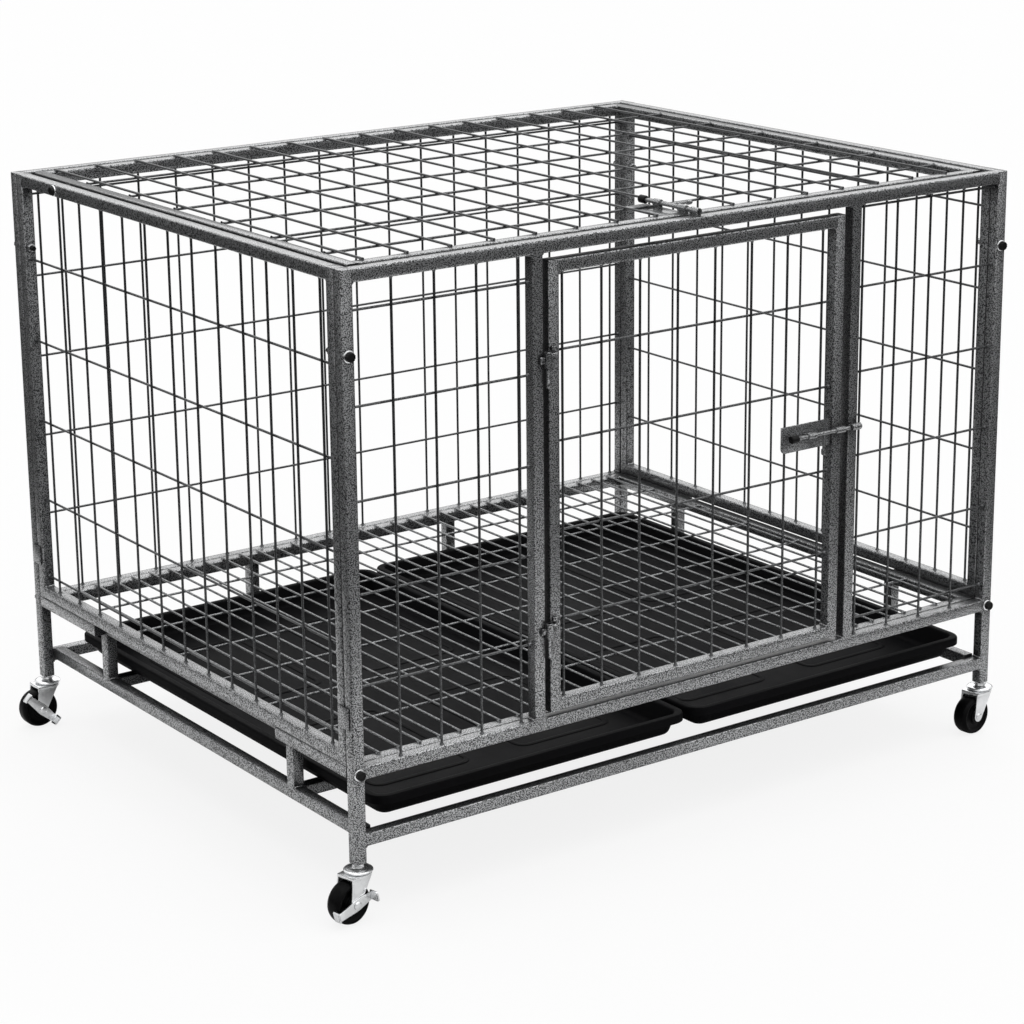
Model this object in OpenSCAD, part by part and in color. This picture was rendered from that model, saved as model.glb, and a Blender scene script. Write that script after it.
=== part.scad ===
// Heavy duty dog crate: bolted panels of square tube and welded wire, a front door, a top lid,
// two sliding trays under the floor grid and four swivel casters. Millimetres, +Z up.
// The origin is on the ground, under the middle of the crate. The door faces -Y.

/* [Crate] */
// Outer width of the crate, side to side
crate_w = 980; // [920:10:1080]
// Outer depth of the crate, front to rear
crate_d = 778; // [740:2:860]
// Length of a corner post, from its lower end to the top rail
post_h = 673.5; // [640:0.5:740]
// Side of the square steel tube
tube = 15; // [14:0.5:17]
// Wall of the square steel tube
tube_wall = 1.2; // [0.8:0.1:1.8]
// Height of the lowest rails above the posts' lower ends
low_rail_h = 19.5; // [14:0.5:24]
// Height of the floor rails above the posts' lower ends
floor_rail_h = 99; // [92:1:110]
// Gap between a side panel and the posts beside it
panel_gap = 0.5; // [0.3:0.1:0.9]

/* [Wire mesh] */
// Wire diameter
wire_d = 3; // [2.4:0.1:3.4]
// Upright wires in the front bay left of the door
front_left_wire_count = 4; // [3:1:5]
// Upright wires in the front bay right of the door
front_right_wire_count = 4; // [3:1:5]
// Upright wires in the rear panel
rear_wire_count = 17; // [13:1:20]
// Upright wires in each side panel
side_wire_count = 13; // [10:1:16]
// Upright wires in the door
door_wire_count = 8; // [6:1:10]
// Cross wires in each fixed panel
wall_row_count = 5; // [4:1:7]
// Cross wires in the door
door_row_count = 4; // [3:1:6]
// Cross wires in the lid
lid_row_count = 6; // [5:1:8]
// Long wires in the floor grid
floor_wire_count = 33; // [25:1:38]
// Cross wires in the floor grid
floor_row_count = 6; // [4:1:8]

/* [Door] */
// Clear width between the door stiles of the front panel
doorway_w = 459; // [430:1:480]
// Place of the doorway's middle, to the right of the crate's middle
doorway_x = 2.5; // [-20:0.5:20]
// Gap beside the door on the hinge side
hinge_gap = 7; // [6:0.5:9]
// Gap beside the door on the latch side
latch_gap = 11; // [9:0.5:13]
// Gap above the door
door_top_gap = 8.5; // [5:0.5:12]
// Gap below the door
door_bottom_gap = 5.5; // [3:0.5:9]
// Height of the upper hinge's arm above the posts' lower ends
upper_hinge_h = 548; // [490:1:570]
// Height of the lower hinge's arm above the posts' lower ends
lower_hinge_h = 230; // [200:1:290]
// Length of a hinge pin below its arm
hinge_pin_len = 42; // [30:1:50]
// Diameter of a hinge pin
hinge_pin_d = 4.2; // [3.6:0.1:4.8]
// Height of the door bolt above the posts' lower ends
door_bolt_h = 387; // [330:1:430]

/* [Lid] */
// Gap between the lid and each side panel
lid_side_gap = 8; // [6:0.5:10]
// Gap between the lid and the front panel
lid_front_gap = 8; // [6:0.5:11]
// Gap between the lid and the rear panel
lid_rear_gap = 6; // [5:0.5:10]
// Distance of the lid's pivot screws from the rear face
pivot_back = 119; // [105:1:130]
// Place of the lid bolt, to the right of the crate's middle
lid_bolt_x = -5; // [-20:1:14]

/* [Slide bolts] */
// Diameter of a bolt rod
bolt_d = 5; // [4.5:0.1:5.6]
// Travel of a bolt from drawn to shot
bolt_travel = 15.5; // [13:0.5:16]
// Height of a bolt's axis above the tube it slides over
bolt_out = 5.8; // [5.6:0.1:6.4]
// Outer diameter of the bolt guides and keepers
guide_d = 8.6; // [8:0.2:9.4]
// Length of a guide or keeper that sits on a tube
guide_len = 14; // [12:0.5:14]
// Length of the door bolt's handle from the rod's axis
door_handle_len = 27; // [22:1:34]
// Length of the lid bolt's handle from the rod's axis
lid_handle_len = 34; // [32:1:40]
// Length of the latch plate behind the tube
latch_plate_len = 79; // [72:1:84]
// Width of the latch plate
latch_plate_w = 33; // [28:1:36]
// Thickness of the latch plate
latch_plate_t = 2; // [1.5:0.1:2.4]

/* [Trays] */
// Width of one tray over its rim
tray_w = 450; // [420:1:454]
// Depth of one tray over its rim
tray_d = 719; // [680:1:722]
// Height of a tray
tray_h = 28.7; // [24:0.1:40]
// Wall of a tray
tray_wall = 2.2; // [1.8:0.1:3]
// Width of the tray's flat rim
tray_rim = 8; // [6:0.5:10]
// How far the tray's walls lean in from rim to floor
tray_lean = 7; // [4:0.5:10]
// Corner radius of the tray's rim
tray_corner = 22; // [18:1:30]
// Gap between the two trays
tray_gap = 8; // [4:0.5:10]
// Distance of the trays' front rims behind the crate's front face
tray_in = 10; // [4:0.5:20]

/* [Rack] */
// Height of the rack's lower rails above the posts' lower ends
rack_rail_h = 23; // [20:0.5:26]
// Distance from the front or rear face to the side struts
strut_in = 155; // [130:1:180]
// Place of the rear panel's struts, left and right of the crate's middle
rear_strut_x = 164.5; // [120:0.5:220]
// Length of the stubs that carry the side panels
stub_len = 152; // [120:1:170]

/* [Screws] */
// Diameter of the thumb screws
screw_d = 6; // [5:0.5:6.5]
// Diameter of the lid's pivot screws
pivot_d = 8; // [6:0.5:8]
// Diameter of a screw's black head
knob_d = 11; // [10:0.5:14]
// Height of a screw's black head
knob_h = 5; // [4:0.5:8]
// Distance of the upper thumb screws below the top of the posts
upper_screw_drop = 93.5; // [70:0.5:98]

/* [Casters] */
// Height of the posts' lower ends above the ground
caster_h = 67; // [65.5:0.5:72]
// Diameter of a wheel
wheel_d = 50; // [46:0.5:51]
// Width of a wheel's tread
wheel_w = 21; // [18:0.5:22]
// Distance from a caster's swivel axis to its axle
caster_trail = 16; // [15:0.5:20]
// Heading of the front left caster, from +X towards +Y
front_left_yaw = 190; // [0:1:359]
// Heading of the front right caster
front_right_yaw = 186; // [0:1:359]
// Heading of the rear left caster
rear_left_yaw = 180; // [0:1:359]
// Heading of the rear right caster
rear_right_yaw = 40; // [0:1:359]
// Turn of a brake pedal from one end of its travel to the other, in degrees
pedal_turn = 60; // [50:1:64]

/* [Hidden] */
$fn = 48;

// Overrun of every cut
over = 1;
// Clearances: between a shaft and its bore, in a plain screw hole, between moving faces, at a weld
run_clear = 0.05;
hole_clear = 0.2;
face_gap = 0.3;
weld_gap = 0.05;

// Main planes
hw = crate_w / 2;
hd = crate_d / 2;
z_leg = caster_h;
z_top = z_leg + post_h;
z_low = z_leg + low_rail_h;
z_floor = z_leg + floor_rail_h;
z_side = z_floor + tube;
z_rack = z_leg + rack_rail_h;
side_y = hd - tube - panel_gap;
side_len = 2 * side_y;
screw_x = hw - tube / 2;
upper_screw_z = z_top - upper_screw_drop;
lower_screw_z = z_floor + tube / 2;

// Wires of crossing layers bite into each other by this share of their diameter
bite_share = 0.1;
wire_layer = wire_d * (1 - bite_share) / 2;
// Distance of the first wire of each mesh from the tube on its left, front or top, and of the last one
// from the tube opposite
front_left_first = 51.5;
front_left_last = 15.6;
front_left_row = 31.5;
front_left_end = 91;
front_right_first = 8;
front_right_last = 54.1;
front_right_row = 102.5;
front_right_end = 20;
edge_wire_drop = 4.5;
door_first = 8;
door_last = 15.9;
door_row = 90;
door_end = 94;
rear_first = 52;
rear_last = 13.2;
rear_row = 14.5;
rear_end = 108;
left_first = 21;
left_last = 32.4;
left_row = 93.5;
left_end = 14;
right_first = 12.5;
right_last = 40.9;
right_row = 32.5;
right_end = 75;
lid_row = 54;
lid_end = 100;
floor_first = 19.2;
floor_last = 17.6;
floor_row = 98;
floor_end = 83;
// How far the long wires of the lid and the floor lie on the rails
wire_lap = 7;
// Distance of the lid's nearest long wire to the right of its bolt, and the pitch as a share of its width
lid_wire_off = 20;
lid_pitch_share = 0.06316;

// Doorway and door
doorway_x0 = doorway_x - doorway_w / 2;
doorway_x1 = doorway_x + doorway_w / 2;
door_x0 = doorway_x0 + hinge_gap;
door_x1 = doorway_x1 - latch_gap;
door_z0 = z_floor + tube + door_bottom_gap;
door_z1 = z_top - tube - door_top_gap;
door_w = door_x1 - door_x0;
door_h = door_z1 - door_z0;
drain_d = 4;
// Hinge: a bent pin on the door hangs in a barrel on the stile, in front of the gap
barrel_d = 8.4;
barrel_len = 18.4;
pin_out = 3;
pin_x = doorway_x0 + hinge_gap / 2;
arm_h = 6;
arm_edge = 0.4;
arm_reach = 9;
barrel_foot_t = 3.4;
barrel_foot_h = 8;
barrel_foot_reach = 7;
barrel_foot_in = 2;

// Lid
lid_x0 = -hw + tube + lid_side_gap;
lid_y0 = -hd + tube + lid_front_gap;
lid_w = -2 * lid_x0;
lid_len = hd - tube - lid_rear_gap - lid_y0;
lid_z = z_top - tube;
pivot_y = hd - pivot_back;
pivot_z = z_top - tube / 2;
spacer_d = 12.5;
nut_grow = 5;
nut_h = 5;

// Slide bolts, along the rod from the edge of the tube that carries the front guide
guide_edge = 0.5;
rear_guide_len = 12;
guide_space = 33;
tip_back = 3;
handle_d = 4;
handle_knob_d = 6.4;
handle_knob_len = 7;
handle_slack = 1.3;
tail_d = 9.6;
tail_len = 11;
foot_w = 6.2;
front_guide_x = -guide_edge - guide_len;
rear_guide_x = front_guide_x - guide_space - rear_guide_len;
handle_x = front_guide_x - handle_slack - handle_d / 2 - bolt_travel;
tail_x = rear_guide_x - face_gap - tail_len - bolt_travel;
// Door bolt: its axis stands off the front face, and its rear guide reaches back to the plate
door_plate_y = -hd + tube / 2 - wire_layer - wire_d / 2 - weld_gap - latch_plate_t;
door_bolt_z = z_leg + door_bolt_h;
// Lid bolt: its plate is welded under the lid's first cross wire
lid_wire_z = z_top + weld_gap + wire_d / 2;
lid_plate_z = lid_wire_z - 2 * wire_layer - wire_d / 2 - weld_gap - latch_plate_t;
lid_bolt_z = z_top + bolt_out;
plate_low_share = 0.57;
plate_fillet = 7;

// Screws
washer_grow = 3;
washer_d = knob_d + washer_grow;
washer_t = 1.5;
tip_out = 10;
stub_plug = 12;
tab_t = 2;
tab_h = 25;
tab_low = 60;
tab_lap = 10;
tab_hold = 11;

// Trays
tray_z = z_rack + tube + face_gap;
tray_y0 = -hd + tray_in;
tray_skirt_share = 0.333;
tray_skin_share = 0.25;
tray_rib_w = 7;
tray_rib_h = 1.6;
tray_rib_shares = [[0.08, 0.08, 0.44, 0.44], [0.56, 0.08, 0.92, 0.44],
                   [0.08, 0.56, 0.44, 0.92], [0.56, 0.56, 0.92, 0.92]];

// Casters, heights from the ground
plug_h = 20;
shank_h = 18;
collar_h = 5;
collar_d = 13.4;
collar_neck_d = 12;
race_h = 5;
race_d = 34;
race_bevel = 1.6;
king_d = 8;
king_head_d = 12;
king_head_h = 1.3;
crown_d = 30;
crown_h = 4.2;
fork_t = 2;
axle_d = 6;
axle_head_d = 10;
axle_head_h = 2.4;
boss_d = 14;
boss_in = 0.3;
wheel_side_gap = 0.8;
race_z0 = z_leg - collar_h - race_h;
crown_z1 = race_z0 - face_gap;
crown_z0 = crown_z1 - crown_h;
king_z0 = crown_z0 - face_gap - king_head_h;
axle_z = wheel_d / 2;
fork_in = wheel_w / 2 + wheel_side_gap;
fork_out = fork_in + fork_t;
hub_half = fork_in - face_gap;
fork_top_shares = [-0.3, 0.66];
// Wheel profile as shares of its radius and of half its width
wheel_shares = [[0.42, 1.0], [0.44, 0.78], [0.7, 0.74], [0.78, 0.92], [0.87, 1.0], [0.95, 0.86], [1.0, 0.5]];
// Brake pedal: a plate on the axle with a foot tab and a shoe
pedal_t = 2;
pedal_w = 13;
pedal_foot = 24;
pedal_tab = 12;
shoe_gap = 1.4;
shoe_reach = 8;
pedal_y = fork_out + face_gap;
shoe_r = wheel_d / 2 + shoe_gap;
foot_up = 165;

casters = [
    ["front_left", -screw_x, -hd + tube / 2, front_left_yaw],
    ["front_right", screw_x, -hd + tube / 2, front_right_yaw],
    ["rear_left", -screw_x, hd - tube / 2, rear_left_yaw],
    ["rear_right", screw_x, hd - tube / 2, rear_right_yaw]
];

// Colours
coat = [0.3, 0.31, 0.32];
wire_coat = [0.13, 0.13, 0.14];
tray_black = [0.06, 0.06, 0.065];
knob_black = [0.05, 0.05, 0.05];
zinc = [0.78, 0.79, 0.8];
wheel_black = [0.07, 0.07, 0.07];

// Even places of wires along a span, with the first and the last one at their own distances from its ends
function places(span, first, last, count) =
    [for (k = [0 : count - 1]) first + (span - first - last) * k / (count - 1)];

// Point where a line from p touches a circle
function touch(p, c, r, side) =
    let (
        v = p - c,
        a = atan2(v[1], v[0]) + side * acos(r / norm(v))
    )
    c + r * [cos(a), sin(a)];

// A run of square tube: axis number, corner and length
module bar(run) {
    a = run[0];
    translate(run[1])
        cube([a == 0 ? run[2] : tube, a == 1 ? run[2] : tube, a == 2 ? run[2] : tube]);
}

// The hollow of a run of tube, lengthened at its two ends
module hollow(run, before, after) {
    a = run[0];
    inner = tube - 2 * tube_wall;
    len = run[2] + before + after;
    shift = [for (i = [0 : 2]) i == a ? -before : tube_wall];
    translate(run[1] + shift)
        cube([a == 0 ? len : inner, a == 1 ? len : inner, a == 2 ? len : inner]);
}

// A welded frame: uprights with their ends closed or open, and rails whose hollows run into them
module tube_frame(uprights, rails, low_end, high_end) {
    through = tube_wall + over;
    difference() {
        union() {
            for (run = concat(uprights, rails)) bar(run);
        }
        for (run = uprights) hollow(run, low_end, high_end);
        for (run = rails) hollow(run, through, through);
        children();
    }
}

// Welded wire in the XY plane: long wires along Y in one layer, cross wires along X in the other
module wire_grid(w, h, us, vs, out, lap) {
    for (u = us)
        translate([u, -lap, out * wire_layer])
            rotate([-90, 0, 0]) cylinder(d = wire_d, h = h + 2 * lap);
    for (v = vs)
        translate([0, v, -out * wire_layer])
            rotate([0, 90, 0]) cylinder(d = wire_d, h = w);
}

// Welded wire standing in the XZ plane; the rows are given downwards from its top
module wall_mesh(w, h, us, rows, out) {
    rotate([90, 0, 0]) wire_grid(w, h, us, [for (r = rows) h - r], out, 0);
}

// Holes along Y for the thumb screws at one end of a panel
module screw_holes_y(y0, z_list) {
    for (side = [-1, 1], z = z_list)
        translate([side * screw_x, y0, z])
            rotate([-90, 0, 0]) cylinder(d = screw_d + 2 * hole_clear, h = tube + 2 * over);
}

// Front and rear panels
function end_posts(y) = [
    [2, [-hw, y, z_leg], post_h],
    [2, [hw - tube, y, z_leg], post_h]
];
function end_rails(y) = [for (z = [z_top - tube, z_floor, z_low])
    [0, [-hw + tube, y, z], crate_w - 2 * tube]];
door_stiles = [for (x = [doorway_x0 - tube, doorway_x1])
    [2, [x, -hd, z_floor + tube], z_top - z_floor - 2 * tube]];

module front_frame() {
    color(coat)
        tube_frame(end_posts(-hd), concat(end_rails(-hd), door_stiles), over, -tube_wall)
            screw_holes_y(-hd - over, [upper_screw_z, lower_screw_z]);
}

module rear_frame() {
    struts = [for (x = [-rear_strut_x, rear_strut_x])
        [2, [x - tube / 2, hd - tube, z_low + tube], z_floor - z_low - tube]];
    color(coat)
        tube_frame(end_posts(hd - tube), concat(end_rails(hd - tube), struts), over, -tube_wall)
            screw_holes_y(hd - tube - over, [upper_screw_z, lower_screw_z]);
}

bay_h = z_top - z_floor - 2 * tube;
left_bay_w = doorway_x0 - tube - (-hw + tube);
right_bay_w = hw - tube - (doorway_x1 + tube);

module front_mesh_left() {
    color(wire_coat)
        translate([-hw + tube, -hd + tube / 2, z_floor + tube])
            wall_mesh(left_bay_w, bay_h,
                      places(left_bay_w, front_left_first, front_left_last, front_left_wire_count),
                      places(bay_h, front_left_row, front_left_end, wall_row_count), 1);
}

module front_mesh_right() {
    rows = concat([edge_wire_drop], places(bay_h, front_right_row, front_right_end, wall_row_count));
    color(wire_coat)
        translate([doorway_x1 + tube, -hd + tube / 2, z_floor + tube])
            wall_mesh(right_bay_w, bay_h,
                      places(right_bay_w, front_right_first, front_right_last, front_right_wire_count),
                      rows, 1);
}

module rear_mesh() {
    w = crate_w - 2 * tube;
    color(wire_coat)
        translate([-hw + tube, hd - tube / 2, z_floor + tube])
            wall_mesh(w, bay_h, places(w, rear_first, rear_last, rear_wire_count),
                      places(bay_h, rear_row, rear_end, wall_row_count), -1);
}

// Side panels stand on the stubs of the floor frame
side_h = z_top - z_side;
side_in_w = side_len - 2 * tube;
side_in_h = side_h - 2 * tube;

module side_frame(x) {
    posts = [for (y = [-side_y, side_y - tube]) [2, [x, y, z_side], side_h]];
    rails = [for (z = [z_side, z_top - tube]) [1, [x, -side_y + tube, z], side_in_w]];
    color(coat)
        tube_frame(posts, rails, -tube_wall, -tube_wall) {
            for (y = [-side_y - over, side_y - tube - over])
                translate([x + tube / 2, y, upper_screw_z])
                    rotate([-90, 0, 0]) cylinder(d = screw_d + 2 * hole_clear, h = tube + 2 * over);
            translate([x - over, pivot_y, pivot_z])
                rotate([0, 90, 0]) cylinder(d = pivot_d + 2 * hole_clear, h = tube + 2 * over);
        }
}

module side_mesh(x, us, rows, out) {
    color(wire_coat)
        translate([x + tube / 2, -side_y + tube, z_side + tube])
            rotate([0, 0, 90]) wall_mesh(side_in_w, side_in_h, us, rows, out);
}

module left_frame() {
    side_frame(-hw);
}

module left_mesh() {
    side_mesh(-hw, places(side_in_w, left_first, left_last, side_wire_count),
              places(side_in_h, left_row, left_end, wall_row_count), -1);
}

module right_frame() {
    side_frame(hw - tube);
}

module right_mesh() {
    side_mesh(hw - tube, places(side_in_w, right_first, right_last, side_wire_count),
              places(side_in_h, right_row, right_end, wall_row_count), 1);
}

// Tabs on the side panels that lap over the corner posts
module corner_tabs() {
    color(coat)
        for (side = [-1, 1], end = [-1, 1])
            scale([side, end, 1])
                translate([hw, side_y - tab_hold, z_floor + tab_low])
                    cube([tab_t, tab_hold + panel_gap + tab_lap, tab_h]);
}

// Floor frame with the stubs that the side panels stand on
module floor_frame() {
    sides = [for (x = [-hw + tube, hw - 2 * tube]) [1, [x, -side_y, z_floor], side_len]];
    ends = [for (y = [-side_y, side_y - tube])
        [0, [-hw + 2 * tube, y, z_floor], crate_w - 4 * tube]];
    stubs = [for (x = [-hw, hw - tube], y = [-side_y, side_y - stub_len])
        [1, [x, y, z_floor], stub_len]];
    color(coat)
        difference() {
            union() {
                tube_frame(sides, ends, over, over);
                for (run = stubs) bar(run);
            }
            for (run = stubs) hollow(run, -stub_plug, -stub_plug);
            for (y = [-side_y - over, side_y - stub_plug - over], side = [-1, 1])
                translate([side * screw_x, y, lower_screw_z])
                    rotate([-90, 0, 0])
                        cylinder(d = screw_d + 2 * hole_clear, h = stub_plug + 2 * over);
        }
}

module floor_grid() {
    w = crate_w - 4 * tube;
    h = side_len - 2 * tube;
    color(wire_coat)
        translate([-w / 2, -h / 2, z_floor + tube + weld_gap + wire_d / 2 - wire_layer])
            wire_grid(w, h, places(w, floor_first, floor_last, floor_wire_count),
                      places(h, floor_row, floor_end, floor_row_count), 1, wire_lap);
}

// Rack under the floor frame that carries the trays
module tray_rack() {
    strut_h = z_floor - z_rack - tube;
    low_x = hw - 2 * tube;
    strut_y = hd - strut_in - tube;
    struts = [for (x = [-hw + tube, low_x], y = [-strut_y - tube, strut_y])
        [2, [x, y, z_rack + tube], strut_h]];
    rails = [for (x = [-hw + tube, low_x]) [1, [x, -side_y, z_rack], side_len]];
    bars = [for (y = [-strut_y - tube, strut_y])
        [0, [-low_x, y, z_rack], 2 * low_x]];
    through = tube_wall + over;
    color(coat)
        difference() {
            union() {
                for (run = concat(struts, rails, bars)) bar(run);
            }
            for (run = rails) hollow(run, over, over);
            for (run = bars) hollow(run, through, through);
            for (run = struts) hollow(run, through, -tube_wall);
        }
}

// A moulded tray: leaning walls, a flat rim with a turned down edge, and low ribs on its floor
module slab(w, d, r, h) {
    linear_extrude(height = h)
        union() {
            square([w - 2 * r, d], center = true);
            square([w, d - 2 * r], center = true);
            for (x = [-1, 1], y = [-1, 1])
                translate([x * (w / 2 - r), y * (d / 2 - r)]) circle(r = r);
        }
}

module basin(inset, z0, z1) {
    low = tray_rim + tray_lean + inset;
    high = tray_rim + inset;
    skin = tray_wall * tray_skin_share;
    hull() {
        translate([0, 0, z0])
            slab(tray_w - 2 * low, tray_d - 2 * low, tray_corner - tray_rim, skin, $fn = 32);
        translate([0, 0, z1 - skin])
            slab(tray_w - 2 * high, tray_d - 2 * high, tray_corner - tray_rim, skin, $fn = 32);
    }
}

module tray(x) {
    rim_skirt = tray_h * tray_skirt_share;
    floor_w = tray_w - 2 * (tray_rim + tray_lean + tray_wall);
    floor_d = tray_d - 2 * (tray_rim + tray_lean + tray_wall);
    color(tray_black)
        translate([x, tray_y0 + tray_d / 2, tray_z]) {
            difference() {
                union() {
                    basin(0, 0, tray_h);
                    difference() {
                        translate([0, 0, tray_h - rim_skirt])
                            slab(tray_w, tray_d, tray_corner, rim_skirt);
                        translate([0, 0, tray_h - rim_skirt - over])
                            slab(tray_w - 2 * tray_wall, tray_d - 2 * tray_wall,
                                 tray_corner - tray_wall, rim_skirt - tray_wall + over);
                    }
                }
                basin(tray_wall, tray_wall, tray_h + over);
            }
            for (s = tray_rib_shares)
                translate([(s[0] - 0.5) * floor_w, (s[1] - 0.5) * floor_d, tray_wall / 2])
                    difference() {
                        cube([(s[2] - s[0]) * floor_w, (s[3] - s[1]) * floor_d,
                              tray_wall / 2 + tray_rib_h]);
                        translate([tray_rib_w, tray_rib_w, -over])
                            cube([(s[2] - s[0]) * floor_w - 2 * tray_rib_w,
                                  (s[3] - s[1]) * floor_d - 2 * tray_rib_w,
                                  tray_wall + tray_rib_h + 2 * over]);
                    }
        }
}

module tray_left() {
    tray(-(tray_w + tray_gap) / 2);
}

module tray_right() {
    tray((tray_w + tray_gap) / 2);
}

// Door
module door_frame() {
    stiles = [for (x = [door_x0, door_x1 - tube]) [2, [x, -hd, door_z0], door_h]];
    rails = [for (z = [door_z0, door_z1 - tube]) [0, [door_x0 + tube, -hd, z], door_w - 2 * tube]];
    color(coat)
        tube_frame(stiles, rails, -tube_wall, -tube_wall)
            translate([(door_x0 + door_x1) / 2, -hd + tube / 2, door_z0 - over])
                cylinder(d = drain_d, h = tube_wall + 2 * over);
}

module door_mesh() {
    w = door_w - 2 * tube;
    h = door_h - 2 * tube;
    color(wire_coat)
        translate([door_x0 + tube, -hd + tube / 2, door_z0 + tube])
            wall_mesh(w, h, places(w, door_first, door_last, door_wire_count),
                      places(h, door_row, door_end, door_row_count), 1);
}

// Latch plate in its own plane, from the tube's edge at x = 0 towards -X, with one round corner
module latch_plate(len) {
    low = latch_plate_w * plate_low_share;
    linear_extrude(height = latch_plate_t)
        difference() {
            translate([-len, -low]) square([len, latch_plate_w]);
            difference() {
                translate([-len - over, -low - over]) square(plate_fillet + over);
                translate([-len + plate_fillet, -low + plate_fillet]) circle(r = plate_fillet);
            }
        }
}

// A guide or keeper: a barrel along X, with its foot on the seat below
module guide(x, len, foot) {
    difference() {
        union() {
            translate([x, 0, 0]) rotate([0, 90, 0]) cylinder(d = guide_d, h = len);
            translate([x, -foot_w / 2, -foot]) cube([len, foot_w, foot]);
        }
        translate([x - over, 0, 0])
            rotate([0, 90, 0]) cylinder(d = bolt_d + 4 * run_clear, h = len + 2 * over);
    }
}

// A slide bolt in its drawn place: rod, handle with a knob, and a stop on its tail
module slide_bolt(gap, handle_len, side) {
    tip_x = gap + guide_edge - tip_back;
    color(zinc) {
        translate([tail_x, 0, 0])
            rotate([0, 90, 0]) cylinder(d = bolt_d, h = tip_x - tail_x);
        translate([tail_x, 0, 0]) rotate([0, 90, 0]) cylinder(d = tail_d, h = tail_len);
        translate([handle_x, 0, 0])
            rotate([-90 * side, 0, 0]) {
                cylinder(d = handle_d, h = handle_len);
                translate([0, 0, handle_len - handle_knob_len])
                    cylinder(d = handle_knob_d, h = handle_knob_len);
            }
    }
}

// Frames of the two latches: X along the rod towards the keeper, Z away from the seat
module at_door_bolt() {
    translate([door_x1, -hd - bolt_out, door_bolt_z]) rotate([90, 0, 0]) children();
}

module at_lid_bolt() {
    translate([lid_bolt_x, lid_y0, lid_bolt_z]) rotate([0, 0, -90]) children();
}

door_plate_drop = door_plate_y + hd + bolt_out;
lid_plate_drop = lid_bolt_z - lid_plate_z - latch_plate_t;

module door_latch_plate() {
    color(coat)
        translate([door_x1 - tube, door_plate_y + latch_plate_t, door_bolt_z])
            rotate([90, 0, 0]) latch_plate(latch_plate_len);
}

module door_bolt_guides() {
    color(zinc)
        at_door_bolt() {
            guide(front_guide_x, guide_len, bolt_out);
            guide(rear_guide_x, rear_guide_len, door_plate_drop);
        }
}

module door_keeper() {
    color(zinc) at_door_bolt() guide(latch_gap + guide_edge, guide_len, bolt_out);
}

module door_bolt() {
    at_door_bolt() slide_bolt(latch_gap, door_handle_len, -1);
}

// Lift-off hinges: on the door an arm with a pin, on the stile a barrel with its foot
module at_hinges() {
    for (h = [upper_hinge_h, lower_hinge_h])
        translate([pin_x, -hd - pin_out, z_leg + h]) children();
}

module door_hinge_pins() {
    arm_half = hinge_pin_d / 2 + arm_edge;
    color(coat)
        at_hinges() {
            translate([0, 0, -hinge_pin_len]) cylinder(d = hinge_pin_d, h = hinge_pin_len + arm_h / 2);
            translate([-arm_half, -arm_half, 0])
                cube([arm_half + hinge_gap / 2 + arm_reach, arm_half + pin_out, arm_h]);
        }
}

module hinge_barrels() {
    color(coat)
        at_hinges()
            translate([0, 0, -face_gap - barrel_len])
                difference() {
                    union() {
                        cylinder(d = barrel_d, h = barrel_len);
                        translate([-hinge_gap / 2 - barrel_foot_reach, pin_out - barrel_foot_t,
                                   (barrel_len - barrel_foot_h) / 2])
                            cube([barrel_foot_reach + barrel_foot_in, barrel_foot_t, barrel_foot_h]);
                    }
                    translate([0, 0, -over])
                        cylinder(d = hinge_pin_d + 2 * run_clear, h = barrel_len + 2 * over);
                }
}

// Lid
module lid_frame() {
    sides = [for (x = [lid_x0, -lid_x0 - tube]) [1, [x, lid_y0, lid_z], lid_len]];
    ends = [for (y = [lid_y0, lid_y0 + lid_len - tube])
        [0, [lid_x0 + tube, y, lid_z], lid_w - 2 * tube]];
    color(coat)
        tube_frame(sides, ends, -tube_wall, -tube_wall)
            for (x = [lid_x0, -lid_x0 - tube])
                translate([x - over, pivot_y, pivot_z])
                    rotate([0, 90, 0]) cylinder(d = pivot_d + 2 * run_clear, h = tube + 2 * over);
}

module lid_mesh() {
    w = lid_w - 2 * tube;
    h = lid_len - 2 * tube;
    anchor = w / 2 + lid_bolt_x + lid_wire_off;
    pitch = w * lid_pitch_share;
    first = anchor - pitch * floor((anchor - wire_d) / pitch);
    color(wire_coat)
        translate([-w / 2, lid_y0 + tube, lid_wire_z - wire_layer])
            wire_grid(w, h, [for (u = [first : pitch : w - wire_d]) u],
                      places(h, lid_row, lid_end, lid_row_count), 1, wire_lap);
}

module lid_latch_plate() {
    color(coat)
        translate([lid_bolt_x, lid_y0 + tube, lid_plate_z])
            rotate([0, 0, -90]) latch_plate(latch_plate_len);
}

module lid_bolt_guides() {
    color(zinc)
        at_lid_bolt() {
            guide(front_guide_x, guide_len, bolt_out);
            guide(rear_guide_x, rear_guide_len, lid_plate_drop);
        }
}

module lid_keeper() {
    color(zinc) at_lid_bolt() guide(lid_front_gap + guide_edge, guide_len, bolt_out);
}

module lid_bolt() {
    at_lid_bolt() slide_bolt(lid_front_gap, lid_handle_len, 1);
}

// Pivot screws, in from each side
module at_pivots() {
    for (side = [-1, 1])
        translate([side * hw, pivot_y, pivot_z]) rotate([0, -90 * side, 0]) children();
}

module lid_pivot_screws() {
    reach = 2 * tube + lid_side_gap;
    color(knob_black)
        at_pivots() {
            cylinder(d = pivot_d, h = reach);
            translate([0, 0, -knob_h]) cylinder(d = knob_d, h = knob_h);
        }
}

module lid_pivot_spacers() {
    color(zinc)
        at_pivots()
            translate([0, 0, tube])
                difference() {
                    cylinder(d = spacer_d, h = lid_side_gap - face_gap);
                    translate([0, 0, -over])
                        cylinder(d = pivot_d + 2 * run_clear, h = lid_side_gap + 2 * over);
                }
}

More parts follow.
